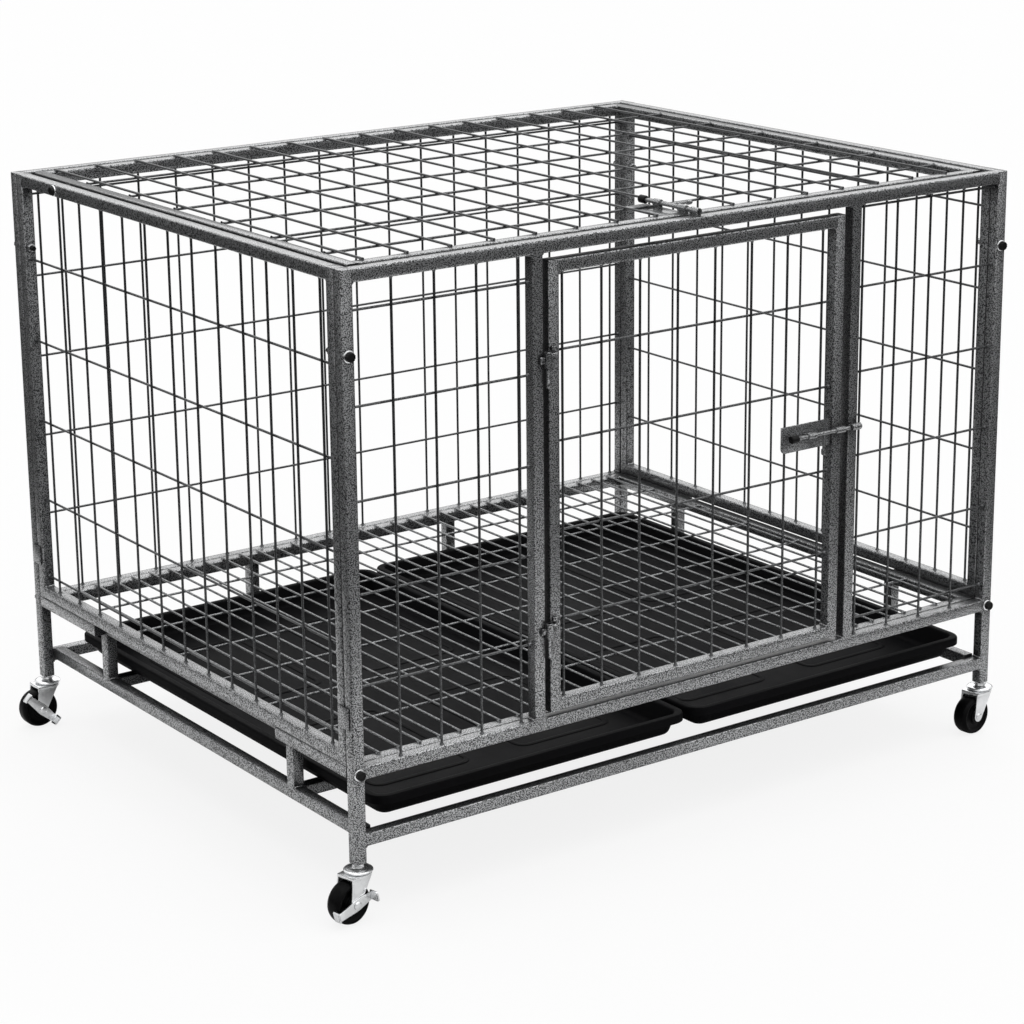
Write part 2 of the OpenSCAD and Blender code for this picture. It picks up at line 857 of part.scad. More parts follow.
// Thumb screws in the front and rear posts, Z pointing into the crate
module at_thumb_screws(z_list) {
    for (x = [-screw_x, screw_x], end = [-1, 1], z = z_list)
        translate([x, end * hd, z]) rotate([90 * end, 0, 0]) children();
}

thumb_reach = 2 * tube + panel_gap;
lower_reach = tube + panel_gap + stub_plug;

module thumb_knobs() {
    color(knob_black)
        at_thumb_screws([upper_screw_z, lower_screw_z])
            translate([0, 0, -washer_t - knob_h]) cylinder(d = knob_d, h = knob_h);
}

module thumb_washers() {
    color(zinc)
        at_thumb_screws([upper_screw_z, lower_screw_z])
            translate([0, 0, -washer_t])
                difference() {
                    cylinder(d = washer_d, h = washer_t);
                    translate([0, 0, -over])
                        cylinder(d = screw_d + 2 * run_clear, h = washer_t + 2 * over);
                }
}

module thumb_shanks() {
    color(zinc) {
        at_thumb_screws([upper_screw_z])
            translate([0, 0, -washer_t]) cylinder(d = screw_d, h = washer_t + thumb_reach + tip_out);
        at_thumb_screws([lower_screw_z])
            translate([0, 0, -washer_t]) cylinder(d = screw_d, h = washer_t + lower_reach);
    }
}

module thumb_nuts() {
    color(zinc)
        at_thumb_screws([upper_screw_z])
            translate([0, 0, thumb_reach])
                difference() {
                    cylinder(d = screw_d + nut_grow, h = nut_h, $fn = 6);
                    translate([0, 0, -over]) cylinder(d = screw_d + 2 * run_clear, h = nut_h + 2 * over);
                }
}

// Plugs in the legs' lower ends, bored for the caster stems
module leg_inserts() {
    plug_w = tube - 2 * tube_wall - 2 * run_clear;
    color(knob_black)
        for (c = casters)
            translate([c[1], c[2], z_leg])
                difference() {
                    translate([-plug_w / 2, -plug_w / 2, 0]) cube([plug_w, plug_w, plug_h]);
                    translate([0, 0, -over])
                        cylinder(d = king_d + 2 * run_clear, h = plug_h + 2 * over);
                }
}

// Caster stems: shank, collar, upper race and king pin with its riveted head
module caster_stems() {
    color(zinc)
        for (c = casters)
            translate([c[1], c[2], 0])
                rotate_extrude()
                    polygon([[0, king_z0], [king_head_d / 2, king_z0],
                             [king_head_d / 2, king_z0 + king_head_h],
                             [king_d / 2, king_z0 + king_head_h], [king_d / 2, race_z0],
                             [race_d / 2 - race_bevel, race_z0], [race_d / 2, race_z0 + race_bevel],
                             [race_d / 2, race_z0 + race_h - race_bevel],
                             [race_d / 2 - 2 * race_bevel, race_z0 + race_h],
                             [collar_d / 2, race_z0 + race_h], [collar_neck_d / 2, z_leg],
                             [king_d / 2, z_leg], [king_d / 2, z_leg + shank_h],
                             [0, z_leg + shank_h]]);
}

// Places a caster's moving pieces: X along the trail, Y along the axle
module at_caster(i) {
    translate([casters[i][1], casters[i][2], 0]) rotate([0, 0, casters[i][3]]) children();
}

module at_axle(i) {
    at_caster(i) translate([caster_trail, 0, axle_z]) children();
}

module fork(i) {
    axle = [caster_trail, axle_z];
    back = [crown_d * fork_top_shares[0], crown_z1];
    front = [crown_d * fork_top_shares[1], crown_z1];
    leg_r = boss_d / 2 - boss_in;
    color(zinc)
        at_caster(i)
            difference() {
                union() {
                    translate([0, 0, crown_z0])
                        hull() {
                            cylinder(d = crown_d, h = crown_h);
                            translate([0, -fork_out, 0]) cube([front[0], 2 * fork_out, crown_h]);
                        }
                    for (y = [fork_out, -fork_in])
                        translate([0, y, 0])
                            rotate([90, 0, 0])
                                linear_extrude(height = fork_t)
                                    union() {
                                        polygon([back, front, touch(front, axle, leg_r, -1),
                                                 axle, touch(back, axle, leg_r, 1)]);
                                        translate(axle) circle(d = boss_d);
                                    }
                }
                translate([0, 0, crown_z0 - over])
                    cylinder(d = king_d + 2 * run_clear, h = crown_h + 2 * over);
                translate([caster_trail, fork_out + over, axle_z])
                    rotate([90, 0, 0])
                        cylinder(d = axle_d + 2 * run_clear, h = 2 * fork_out + 2 * over);
            }
}

// Axle with its heads; on a braked caster it reaches through the pedal
module axle(i, braked) {
    far = fork_out + (braked ? pedal_t + 2 * face_gap : 0);
    color(zinc)
        at_axle(i)
            rotate([-90, 0, 0]) {
                translate([0, 0, -fork_out]) cylinder(d = axle_d, h = fork_out + far);
                translate([0, 0, far]) cylinder(d = axle_head_d, h = axle_head_h);
                translate([0, 0, -fork_out - axle_head_h]) cylinder(d = axle_head_d, h = axle_head_h);
            }
}

module wheel(i) {
    r = wheel_d / 2;
    w = wheel_w / 2;
    bore = axle_d / 2 + run_clear;
    hub = r * wheel_shares[0][0];
    half = [for (s = wheel_shares) [r * s[0], w * s[1]]];
    low = [for (k = [len(half) - 1 : -1 : 0]) [half[k][0], -half[k][1]]];
    color(wheel_black)
        at_axle(i)
            rotate([-90, 0, 0])
                rotate_extrude()
                    polygon(concat([[bore, hub_half], [hub, hub_half]], half, low,
                                   [[hub, -hub_half], [bore, -hub_half]]));
}

// Brake pedal: the foot tab bends outwards, and the shoe bends in over the tread
module pedal(i, foot_angle) {
    shoe_end = shoe_r + pedal_t;
    color(zinc)
        at_axle(i)
            rotate([0, -foot_angle, 0])
                difference() {
                    union() {
                        translate([-shoe_end, pedal_y, -pedal_w / 2])
                            cube([shoe_end + pedal_foot, pedal_t, pedal_w]);
                        translate([0, pedal_y, 0])
                            rotate([-90, 0, 0]) cylinder(d = boss_d, h = pedal_t);
                        translate([pedal_foot - pedal_t, pedal_y, -pedal_w / 2])
                            cube([pedal_t, pedal_tab, pedal_w]);
                        translate([-shoe_end, pedal_y - shoe_reach, -pedal_w / 2])
                            cube([pedal_t, shoe_reach + pedal_t, pedal_w]);
                    }
                    translate([0, pedal_y - over, 0])
                        rotate([-90, 0, 0])
                            cylinder(d = axle_d + 2 * run_clear, h = pedal_t + 2 * over);
                }
}

front_frame();
front_mesh_left();
front_mesh_right();
rear_frame();
rear_mesh();
left_frame();
left_mesh();
right_frame();
right_mesh();
corner_tabs();
floor_frame();
floor_grid();
tray_rack();
tray_left();
tray_right();
door_frame();
door_mesh();
door_latch_plate();
door_bolt_guides();
door_hinge_pins();
hinge_barrels();
door_keeper();
door_bolt();
lid_frame();
lid_mesh();
lid_latch_plate();
lid_bolt_guides();
lid_keeper();
lid_bolt();
lid_pivot_screws();
lid_pivot_spacers();
thumb_knobs();
thumb_shanks();
thumb_washers();
thumb_nuts();
leg_inserts();
caster_stems();
fork(0);  // fork_front_left
fork(1);  // fork_front_right
fork(2);  // fork_rear_left
fork(3);  // fork_rear_right
axle(0, true);  // axle_front_left
axle(1, false);  // axle_front_right
axle(2, true);  // axle_rear_left
axle(3, false);  // axle_rear_right
wheel(0);  // wheel_front_left
wheel(1);  // wheel_front_right
wheel(2);  // wheel_rear_left
wheel(3);  // wheel_rear_right
pedal(0, foot_up);  // pedal_front_left
pedal(2, foot_up + pedal_turn);  // pedal_rear_left
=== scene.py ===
from math import acos, atan2, cos, pi, radians, sin, sqrt

import bmesh
import bpy
from mathutils import Matrix, Vector


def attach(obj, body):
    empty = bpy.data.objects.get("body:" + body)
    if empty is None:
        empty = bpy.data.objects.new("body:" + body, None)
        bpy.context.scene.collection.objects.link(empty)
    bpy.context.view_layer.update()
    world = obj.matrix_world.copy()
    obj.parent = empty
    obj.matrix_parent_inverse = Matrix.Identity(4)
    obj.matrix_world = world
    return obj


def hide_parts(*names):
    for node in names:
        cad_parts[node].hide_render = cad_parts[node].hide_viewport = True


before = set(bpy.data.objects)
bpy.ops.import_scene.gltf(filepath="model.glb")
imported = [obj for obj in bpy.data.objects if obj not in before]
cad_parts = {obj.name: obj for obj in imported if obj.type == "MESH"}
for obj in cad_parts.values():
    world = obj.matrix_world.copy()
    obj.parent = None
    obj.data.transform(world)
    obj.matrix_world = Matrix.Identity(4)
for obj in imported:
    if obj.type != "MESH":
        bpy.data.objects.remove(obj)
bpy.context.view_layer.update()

MM = 0.001

# Sizes of the crate in millimetres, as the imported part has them
HALF_W, HALF_D, TUBE = 490, 389, 15
MID = TUBE / 2
INNER_X = HALF_W - TUBE
POST_X, POST_Y = HALF_W - MID, HALF_D - MID
Z_LEG = 67
Z_TOP, Z_LOW, Z_FLOOR, Z_SIDE, Z_RACK = [Z_LEG + rise for rise in (673.5, 19.5, 99, 114, 23)]
SIDE_Y = 373.5
SIDE_IN = SIDE_Y - TUBE
STUB = 152
RACK_X, RACK_BAR_Y = (-INNER_X, INNER_X - TUBE), (-234, 219)
REAR_STRUT_X = (-164.5, 164.5)
WIRE, LAYER = 3, 1.35
UPRIGHT_PITCH, ROW_PITCH = 55.3, 105.5
LID_PITCH, LID_ROW_PITCH = 57.1, 110
FLOOR_PITCH, FLOOR_ROW_PITCH = 27.6, 107.2
DOORWAY = (-227, 232)
DOOR_X, DOOR_Z = (-220, 221), (Z_LEG + 119.5, Z_LEG + 650)
LID_X, LID_Y = 467, (-366, 368)
LID_IN = LID_X - TUBE
LID_WIRE_Z, FLOOR_WIRE_Z = Z_TOP + 1.55, Z_SIDE - 1.15
LATCH_X, LATCH_Z, BOLT_RISE, HANDLE_X = -5, Z_LEG + 387, 5.8, -33.3
PIVOT_Y, PIVOT_Z = 270, Z_TOP - 7.5
SCREW_Z = (Z_TOP - 93.5, Z_LEG + 106.5)
WASHER = 1.5
TUBE_ROUND, TUBE_WALL, TUBE_DEEP = 1.8, 1.2, 22


# Modelling by hand: start a primitive, pick parts of it, shape them, place the result

def start(kind, scale=(1, 1, 1), **sizes):
    bpy.ops.object.select_all(action="DESELECT")
    getattr(bpy.ops.mesh, "primitive_%s_add" % kind)(**sizes)
    piece = bpy.context.object
    piece.scale = scale
    bpy.ops.object.transform_apply(location=True, rotation=True, scale=True)
    return piece


def edit(on):
    bpy.ops.object.mode_set(mode="EDIT" if on else "OBJECT")


def pick(kind, test):
    mesh = bmesh.from_edit_mesh(bpy.context.object.data)
    bpy.ops.mesh.select_mode(type=kind)
    bpy.ops.mesh.select_all(action="DESELECT")
    parts = {"VERT": mesh.verts, "EDGE": mesh.edges, "FACE": mesh.faces}[kind]
    for part in parts:
        if test(part):
            part.select_set(True)
    mesh.select_flush_mode()
    bmesh.update_edit_mesh(bpy.context.object.data)


def run_of(edge):
    return (edge.verts[1].co - edge.verts[0].co).normalized()


def round_edges(test, width, steps=2):
    pick("EDGE", test)
    bpy.ops.mesh.bevel(offset=width * MM, segments=steps, affect="EDGES")


def close_up():
    bpy.ops.mesh.select_all(action="SELECT")
    bpy.ops.mesh.remove_doubles(threshold=0.00001)
    bpy.ops.mesh.normals_make_consistent(inside=False)


def outline(points, closed):
    # A plane is merged to one vertex, which is drawn along the points as a chain of edges
    piece = start("plane", size=MM)
    edit(True)
    bpy.ops.mesh.select_mode(type="VERT")
    bpy.ops.mesh.select_all(action="SELECT")
    bpy.ops.mesh.merge(type="CENTER")
    here = Vector((0, 0, 0))
    for number, point in enumerate(points):
        step = Vector(point) * MM - here
        if number == 0:
            bpy.ops.transform.translate(value=step)
        else:
            bpy.ops.mesh.extrude_vertices_move(TRANSFORM_OT_translate={"value": step})
        here = Vector(point) * MM
    bpy.ops.mesh.select_all(action="SELECT")
    if closed:
        bpy.ops.mesh.edge_face_add()
    return piece


def lathe(profile, steps=32, smooth=35):
    # Profile of (radius, height) points, spun about Z and left open only where it ends off the axis
    piece = outline([(r, 0, z) for r, z in profile], False)
    bpy.ops.mesh.spin(steps=steps, angle=2 * pi, center=(0, 0, 0), axis=(0, 0, 1))
    close_up()
    edit(False)
    bpy.ops.object.shade_smooth_by_angle(angle=radians(smooth))
    return piece


def plate(points, thick, soft=0.4):
    # Outline of (x, y) points, drawn up along Z to its thickness, with its rims softened
    piece = outline([(x, y, 0) for x, y in points], True)
    bpy.ops.mesh.extrude_region_move(TRANSFORM_OT_translate={"value": (0, 0, thick * MM)})
    close_up()
    if soft:
        round_edges(lambda e: abs(run_of(e).z) < 0.5, soft)
    edit(False)
    bpy.ops.object.shade_smooth_by_angle(angle=radians(40))
    return piece


def arc(cx, cy, r, a0, a1, steps):
    angles = [radians(a0 + (a1 - a0) * k / steps) for k in range(steps + 1)]
    return [(cx + r * cos(angle), cy + r * sin(angle)) for angle in angles]


def place(piece, matrix):
    # Moves the shape itself, so that the object stays at the origin
    piece.data.transform(matrix)
    if matrix.is_negative:
        piece.data.flip_normals()
    return piece


def at(x=0, y=0, z=0):
    return Matrix.Translation(Vector((x, y, z)) * MM)


def turn(angle, axis):
    return Matrix.Rotation(radians(angle), 4, axis)


def aim(direction):
    # Turns +Z to the direction
    return Vector(direction).to_track_quat("Z", "Y").to_matrix().to_4x4()


def copy_of(piece, matrix=Matrix.Identity(4)):
    twin = piece.copy()
    twin.data = piece.data.copy()
    bpy.context.scene.collection.objects.link(twin)
    return place(twin, matrix)


def copies(pattern, matrices):
    made = [copy_of(pattern, matrix) for matrix in matrices]
    bpy.data.objects.remove(pattern)
    return made


def join(pieces):
    bpy.ops.object.select_all(action="DESELECT")
    for piece in pieces:
        piece.select_set(True)
    bpy.context.view_layer.objects.active = pieces[0]
    if len(pieces) > 1:
        bpy.ops.object.join()
    return bpy.context.view_layer.objects.active


def hand_in(piece, name, finish, slot, body, *nodes):
    piece.name = name
    piece.data.name = name
    piece.data.materials.clear()
    piece.data.materials.append(finish)
    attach(piece, body)
    if nodes:
        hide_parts(*nodes)
    return piece


# Finishes: a tone is one socket, and sums and products of tones add their nodes

class Tone:
    def __init__(self, finish, socket):
        self.finish, self.socket = finish, socket

    def maths(self, operation, *values):
        return self.finish.add("Math", {"operation": operation}, dict(enumerate(values)))

    def __add__(self, other):
        return self.maths("ADD", self, other)

    def __rsub__(self, other):
        return self.maths("SUBTRACT", other, self)

    def __mul__(self, other):
        return self.maths("MULTIPLY", self, other)

    __radd__, __rmul__ = __add__, __mul__

    def spread(self, low, high, to_low=0, to_high=1):
        return self.finish.add("MapRange", {"clamp": True}, {0: self, 1: low, 2: high, 3: to_low, 4: to_high})


class Finish:
    def __init__(self, name, holder=None):
        self.material = holder or bpy.data.materials.new(name)
        self.material.use_nodes = True
        self.tree = self.material.node_tree
        self.tree.nodes.clear()
        self.place = self.add("TexCoord", out="Object")

    def add(self, kind, settings={}, sockets={}, out=0):
        node = self.tree.nodes.new("ShaderNode" + kind)
        for key, value in settings.items():
            setattr(node, key, value)
        for key, value in sockets.items():
            if isinstance(value, Tone):
                self.tree.links.new(value.socket, node.inputs[key])
            else:
                node.inputs[key].default_value = value
        return Tone(self, node.outputs[out]) if node.outputs else None

    def noise(self, scale, detail=2, rough=0.5, coords=None):
        return self.add("TexNoise", {}, {"Vector": coords or self.place, "Scale": scale, "Detail": detail,
                                         "Roughness": rough})

    def cells(self, scale):
        return self.add("TexVoronoi", {"feature": "SMOOTH_F1"}, {"Vector": self.place, "Scale": scale})

    def stretched(self, x, y, z):
        return self.add("Mapping", {}, {"Vector": self.place, "Scale": (x, y, z)})

    def mix(self, factor, a, b):
        tones = [value if isinstance(value, Tone) else (*value, 1) for value in (a, b)]
        return self.add("Mix", {"data_type": "RGBA"}, {0: factor, 6: tones[0], 7: tones[1]}, 2)

    def bump(self, height, strength, depth):
        return self.add("Bump", {}, {"Height": height, "Strength": strength, "Distance": depth * MM})

    def output(self, shader, kind="Material"):
        self.add("Output" + kind, {}, {"Surface": shader})
        return self.material


def repaint(node, finish):
    # For a piece that keeps the part's own shape
    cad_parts[node].data.materials.clear()
    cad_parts[node].data.materials.append(finish)


def hammered(name, grain, light, rough, skin, shade_gaps=True):
    # Hammer paint: small islands of bright flake in a black base, under a clear skin; in gaps and inner
    # corners, ambient occlusion dims the flake, metal and skin as painted shade
    coat = Finish(name)
    drift = coat.noise(9, 2).spread(0.3, 0.7, 0.86, 1.08)
    island = coat.noise(grain, 1, 0.5).spread(0.45, 0.55)
    sparkle = coat.noise(2.3 * grain, 2).spread(0.35, 0.65, 0.65, 1)
    flake = island * sparkle * drift
    if shade_gaps:
        # Painted shade: ambient occlusion darkens the flake colour, metal and clear skin in gaps and corners
        gap_shade = coat.add("AmbientOcclusion", {"samples": 2}, {"Distance": 40 * MM}, "AO").spread(0.55, 0.85)
        flake, skin = flake * gap_shade, skin * gap_shade
    shader = coat.add("BsdfPrincipled", {}, {
        "Base Color": coat.mix(flake, (0.006, 0.006, 0.007), light),
        "Metallic": 0.96 * flake,
        "Roughness": rough + 0.1 * (1 - flake),
        "Coat Weight": skin * (0.35 + 0.65 * flake),
        "Coat Roughness": 0.14,
        "Normal": coat.bump(island + 0.3 * sparkle, 0.2, 0.1)})
    return coat.output(shader)


def bright_steel(name, tint, rough, streak):
    # Plated steel: a faint cloudy tint and fine rolling marks
    steel = Finish(name)
    cloud = steel.noise(60, 3, 0.6)
    marks = steel.noise(300, 2, 0.6, steel.stretched(1, 1, 9))
    deep = tuple(0.72 * part for part in tint)
    shader = steel.add("BsdfPrincipled", {}, {
        "Base Color": steel.mix(cloud.spread(0.35, 0.7) * 0.6 + marks * 0.4, deep, tint),
        "Metallic": 0.92,
        "Roughness": rough + streak * marks + 0.1 * cloud,
        "Normal": steel.bump(marks + 0.5 * cloud, 0.15, 0.2)})
    return steel.output(shader)


def moulded(name, dark, light, grain, rough, sheen, shine):
    # Moulded plastic: fine pebble grain, slow changes of gloss, a little pale dust
    plastic = Finish(name)
    pebble = plastic.cells(grain)
    cloud = plastic.noise(7, 4, 0.6)
    dust = plastic.noise(160, 4, 0.75).spread(0.52, 0.8)
    shader = plastic.add("BsdfPrincipled", {}, {
        "Base Color": plastic.mix(cloud.spread(0.3, 0.7) * 0.6 + dust * 0.4, dark, light),
        "Roughness": rough + sheen * cloud.spread(0.3, 0.7) + 0.08 * pebble,
        "Specular IOR Level": shine,
        "Normal": plastic.bump(pebble, 0.25, 0.15)})
    return plastic.output(shader)


# The frame paint carries the painted gap shade; the other hammer paints leave it out
FRAME_COAT = hammered("hammer_paint", 740, (0.6, 0.61, 0.62), 0.27, 0.9)
PLATE_COAT = hammered("latch_paint", 740, (0.5, 0.51, 0.52), 0.27, 0.8, False)
# The wires take two copies of one hammer paint: a dark one on the walls, which is painted shade, and a
# lighter, glossier one on the floor grid, which is painted top light
WALL_WIRE_SHADED_COAT = hammered("wire_shaded_paint", 900, (0.17, 0.175, 0.18), 0.22, 0.2, False)
FLOOR_WIRE_LIT_COAT = hammered("floor_wire_lit_paint", 900, (0.42, 0.43, 0.44), 0.25, 0.5, False)
ZINC = bright_steel("bright_zinc", (0.96, 0.97, 0.98), 0.12, 0.08)
LATCH_STEEL = hammered("bolt_paint", 1500, (0.62, 0.63, 0.64), 0.14, 0.9, False)
TRAY = moulded("tray_plastic", (0.002, 0.002, 0.0023), (0.006, 0.006, 0.007), 900, 0.42, 0.16, 0.04)
KNOB = moulded("knob_plastic", (0.003, 0.003, 0.003), (0.008, 0.008, 0.008), 1400, 0.4, 0.1, 0.2)
PLUG = moulded("plug_plastic", (0.008, 0.008, 0.008), (0.022, 0.022, 0.022), 1200, 0.5, 0.1, 0.3)
RUBBER = moulded("wheel_plastic", (0.001, 0.001, 0.0011), (0.004, 0.004, 0.0044), 1100, 0.26, 0.12, 0.06)


# Tube frames

def tube_run(axis, corner, length, grow=0, hollow=False):
    # A run of square tube with rounded long edges; a rail grows into the round edges of what it meets
    size, low = Vector((TUBE, TUBE, TUBE)), Vector(corner)
    size[axis] = length + 2 * grow
    low[axis] -= grow
    piece = start("cube", size=1, location=(low + size / 2) * MM, scale=size * MM)
    edit(True)
    round_edges(lambda e: abs(run_of(e)[axis]) > 0.9, TUBE_ROUND, 3)
    if hollow:
        pick("FACE", lambda f: f.normal[axis] < -0.9)
        bpy.ops.mesh.inset(thickness=TUBE_WALL * MM)
        step = [0, 0, 0]
        step[axis] = TUBE_DEEP * MM
        bpy.ops.mesh.extrude_region_move(TRANSFORM_OT_translate={"value": step})
    if not grow:
        top = low[axis] + size[axis]
        round_edges(lambda e: all(v.co[axis] > (top - 0.1) * MM for v in e.verts), 0.6)
    edit(False)
    bpy.ops.object.shade_smooth_by_angle(angle=radians(40))
    return piece


def weld_bead():
    # A short rippled bead that lies in an inner corner
    length, cuts = 13, 6
    bead = start("cylinder", vertices=10, radius=2.1 * MM, depth=length * MM)
    edit(True)
    pick("EDGE", lambda e: abs(run_of(e).z) > 0.9)
    bpy.ops.mesh.subdivide(number_cuts=cuts)
    for ring in range(-3, 4, 2):
        spot = ring * length / (cuts + 1) * MM
        pick("VERT", lambda v: abs(v.co.z - spot) < MM and abs(v.co.z) < 6 * MM)
        bpy.ops.transform.resize(value=(1.16, 1.16, 1), center_override=(0, 0, 0))
    round_edges(lambda e: all(abs(v.co.z) > 6.4 * MM for v in e.verts), 0.9)
    edit(False)
    bpy.ops.object.shade_smooth_by_angle(angle=radians(70))
    return bead


def inside(point, run):
    axis, corner, length = run
    return all(corner[k] <= point[k] <= corner[k] + (length if k == axis else TUBE) for k in range(3))


def weld_places(rails, runs):
    # Inner corners where a rail's end meets another run; each rail names the axis across it
    found = []
    for axis, corner, length, across in rails:
        depth = 3 - axis - across
        for end, out in ((0, -1), (length, 1)):
            for side, beyond in ((0, -1), (TUBE, 1)):
                spot = list(corner)
                spot[axis] += end
                spot[across] += side
                spot[depth] += MID
                probe = list(spot)
                probe[axis] += out
                probe[across] += 3 * beyond
                if any(inside(probe, run) for run in runs):
                    direction = [0, 0, 0]
                    direction[depth] = 1
                    found.append(at(*spot) @ aim(direction))
    return found


def welded_frame(node, body, uprights, rails, hollow=False):
    runs = uprights + [rail[:3] for rail in rails]
    pieces = [tube_run(*run, hollow=hollow) for run in uprights]
    pieces += [tube_run(*rail[:3], grow=TUBE_ROUND) for rail in rails]
    pieces += copies(weld_bead(), weld_places(rails, runs))
    hand_in(join(pieces), node + "_tubes", FRAME_COAT, "frame_coat", body, node)


def end_posts(y):
    return [(2, (x, y, Z_LEG), Z_TOP - Z_LEG) for x in (-HALF_W, INNER_X)]


def end_rails(y):
    return [(0, (-INNER_X, y, z), 2 * INNER_X, 2) for z in (Z_TOP - TUBE, Z_FLOOR, Z_LOW)]


def side_frame(node, x):
    posts = [(2, (x, y, Z_SIDE), Z_TOP - Z_SIDE) for y in (-SIDE_Y, SIDE_IN)]
    rails = [(1, (x, -SIDE_IN, z), 2 * SIDE_IN, 2) for z in (Z_SIDE, Z_TOP - TUBE)]
    welded_frame(node, "crate_body", posts, rails)


stiles = [(2, (x, -HALF_D, Z_SIDE), Z_TOP - Z_SIDE - TUBE, 0) for x in (DOORWAY[0] - TUBE, DOORWAY[1])]
welded_frame("front_frame", "crate_body", end_posts(-HALF_D), end_rails(-HALF_D) + stiles, True)
rear_y = HALF_D - TUBE
rear_struts = [(2, (x - MID, rear_y, Z_LOW + TUBE), Z_FLOOR - Z_LOW - TUBE, 0) for x in REAR_STRUT_X]
welded_frame("rear_frame", "crate_body", end_posts(rear_y), end_rails(rear_y) + rear_struts, True)
side_frame("left_frame", -HALF_W)
side_frame("right_frame", INNER_X)

floor_low, floor_w = RACK_X[0] + TUBE, RACK_X[1] - RACK_X[0] - TUBE
floor_sides = [(1, (x, -SIDE_Y, Z_FLOOR), 2 * SIDE_Y) for x in RACK_X]
stubs = [(1, (x, y, Z_FLOOR), STUB) for x in (-HALF_W, INNER_X) for y in (-SIDE_Y, SIDE_Y - STUB)]
floor_ends = [(0, (floor_low, y, Z_FLOOR), floor_w, 1) for y in (-SIDE_Y, SIDE_IN)]
welded_frame("floor_frame", "crate_body", floor_sides + stubs, floor_ends)

rack_rails = [(1, (x, -SIDE_Y, Z_RACK), 2 * SIDE_Y) for x in RACK_X]
rack_bars = [(0, (floor_low, y, Z_RACK), floor_w, 1) for y in RACK_BAR_Y]
rack_struts = [(2, (x, y, Z_RACK + TUBE), Z_FLOOR - Z_RACK - TUBE, 1) for x in RACK_X for y in RACK_BAR_Y]
welded_frame("tray_rack", "crate_body", rack_rails, rack_bars + rack_struts)

door_w, door_h = [span[1] - span[0] - 2 * TUBE for span in (DOOR_X, DOOR_Z)]
door_stiles = [(2, (x, -HALF_D, DOOR_Z[0]), DOOR_Z[1] - DOOR_Z[0]) for x in (DOOR_X[0], DOOR_X[1] - TUBE)]
door_rails = [(0, (DOOR_X[0] + TUBE, -HALF_D, z), door_w, 2) for z in (DOOR_Z[0], DOOR_Z[1] - TUBE)]
welded_frame("door_frame", "door_body", door_stiles, door_rails)

lid_low, lid_high = LID_Y[0] + TUBE, LID_Y[1] - TUBE
lid_sides = [(1, (x, LID_Y[0], Z_TOP - TUBE), LID_Y[1] - LID_Y[0]) for x in (-LID_X, LID_IN)]
lid_ends = [(0, (-LID_IN, y, Z_TOP - TUBE), 2 * LID_IN, 1) for y in (LID_Y[0], lid_high)]
welded_frame("lid_frame", "lid_body", lid_sides, lid_ends)


# Wire meshes: the wires are the part's own; their ends get weld, a flare at a tube or a dab on top of it

def ticks(span, first, pitch, clear=WIRE):
    return [first + pitch * k for k in range(int((span - clear - first) / pitch + 1e-6) + 1)]


def flare():
    r = WIRE / 2
    return lathe([(r, -3.4), (r + 0.35, -1.6), (r + 1.2, -0.3), (r + 1.5, 0.2)], 10, 80)


def dab():
    return lathe([(2.9, -0.2), (2.6, 0.7), (1.7, 1.9), (0, 2.6)], 10, 80)


def wire_welds(node, body, ends, laps=()):
    # Floor-grid wires get the lit copy of the wire paint and wall wires get the shaded copy
    finish = FLOOR_WIRE_LIT_COAT if node == "floor_grid" else WALL_WIRE_SHADED_COAT
    repaint(node, finish)
    pieces = copies(flare(), [at(*spot) @ aim(way) for spot, way in ends])
    if laps:
        pieces += copies(dab(), [at(*spot) for spot in laps])
    hand_in(join(pieces), node + "_welds", finish, "wire_coat", body)


def wall_welds(node, body, axis, corner, w, h, us, rows, out):
    # Mesh in a wall along X or Y: upright wires in the outer layer, rows in the inner one
    ends = []
    other = 1 - axis
    sign = -1 if axis == 0 else 1
    for u in us:
        for v, way in ((0, -1), (h, 1)):
            spot = list(corner)
            spot[axis] += u
            spot[other] += sign * out * LAYER
            spot[2] += v
            ends.append((spot, (0, 0, way)))
    for row in rows:
        for u, way in ((0, -1), (w, 1)):
            spot = list(corner)
            spot[axis] += u
            spot[other] -= sign * out * LAYER
            spot[2] += h - row
            direction = [0, 0, 0]
            direction[axis] = way
            ends.append((spot, direction))
    wire_welds(node, body, ends)


bay_h = Z_TOP - Z_FLOOR - 2 * TUBE
left_w, right_w, rear_w = DOORWAY[0] - TUBE + INNER_X, INNER_X - DOORWAY[1] - TUBE, 2 * INNER_X
wall_welds("front_mesh_left", "crate_body", 0, (-INNER_X, -POST_Y, Z_SIDE), left_w, bay_h,
           ticks(left_w, 51.5, UPRIGHT_PITCH), ticks(bay_h, 31.5, ROW_PITCH), 1)
wall_welds("front_mesh_right", "crate_body", 0, (DOORWAY[1] + TUBE, -POST_Y, Z_SIDE), right_w, bay_h,
           ticks(right_w, 8, UPRIGHT_PITCH), [4.5] + ticks(bay_h, 102.5, ROW_PITCH), 1)
wall_welds("rear_mesh", "crate_body", 0, (-INNER_X, POST_Y, Z_SIDE), rear_w, bay_h,
           ticks(rear_w, 52, UPRIGHT_PITCH), ticks(bay_h, 14.5, ROW_PITCH), -1)
side_w, side_h, side_end = 2 * SIDE_IN, Z_TOP - Z_SIDE - 2 * TUBE, 13
wall_welds("left_mesh", "crate_body", 1, (-POST_X, -SIDE_IN, Z_SIDE + TUBE), side_w, side_h,
           ticks(side_w, 21, UPRIGHT_PITCH, side_end), ticks(side_h, 93.5, ROW_PITCH), -1)
wall_welds("right_mesh", "crate_body", 1, (POST_X, -SIDE_IN, Z_SIDE + TUBE), side_w, side_h,
           ticks(side_w, 12.5, UPRIGHT_PITCH, side_end), ticks(side_h, 32.5, ROW_PITCH), 1)
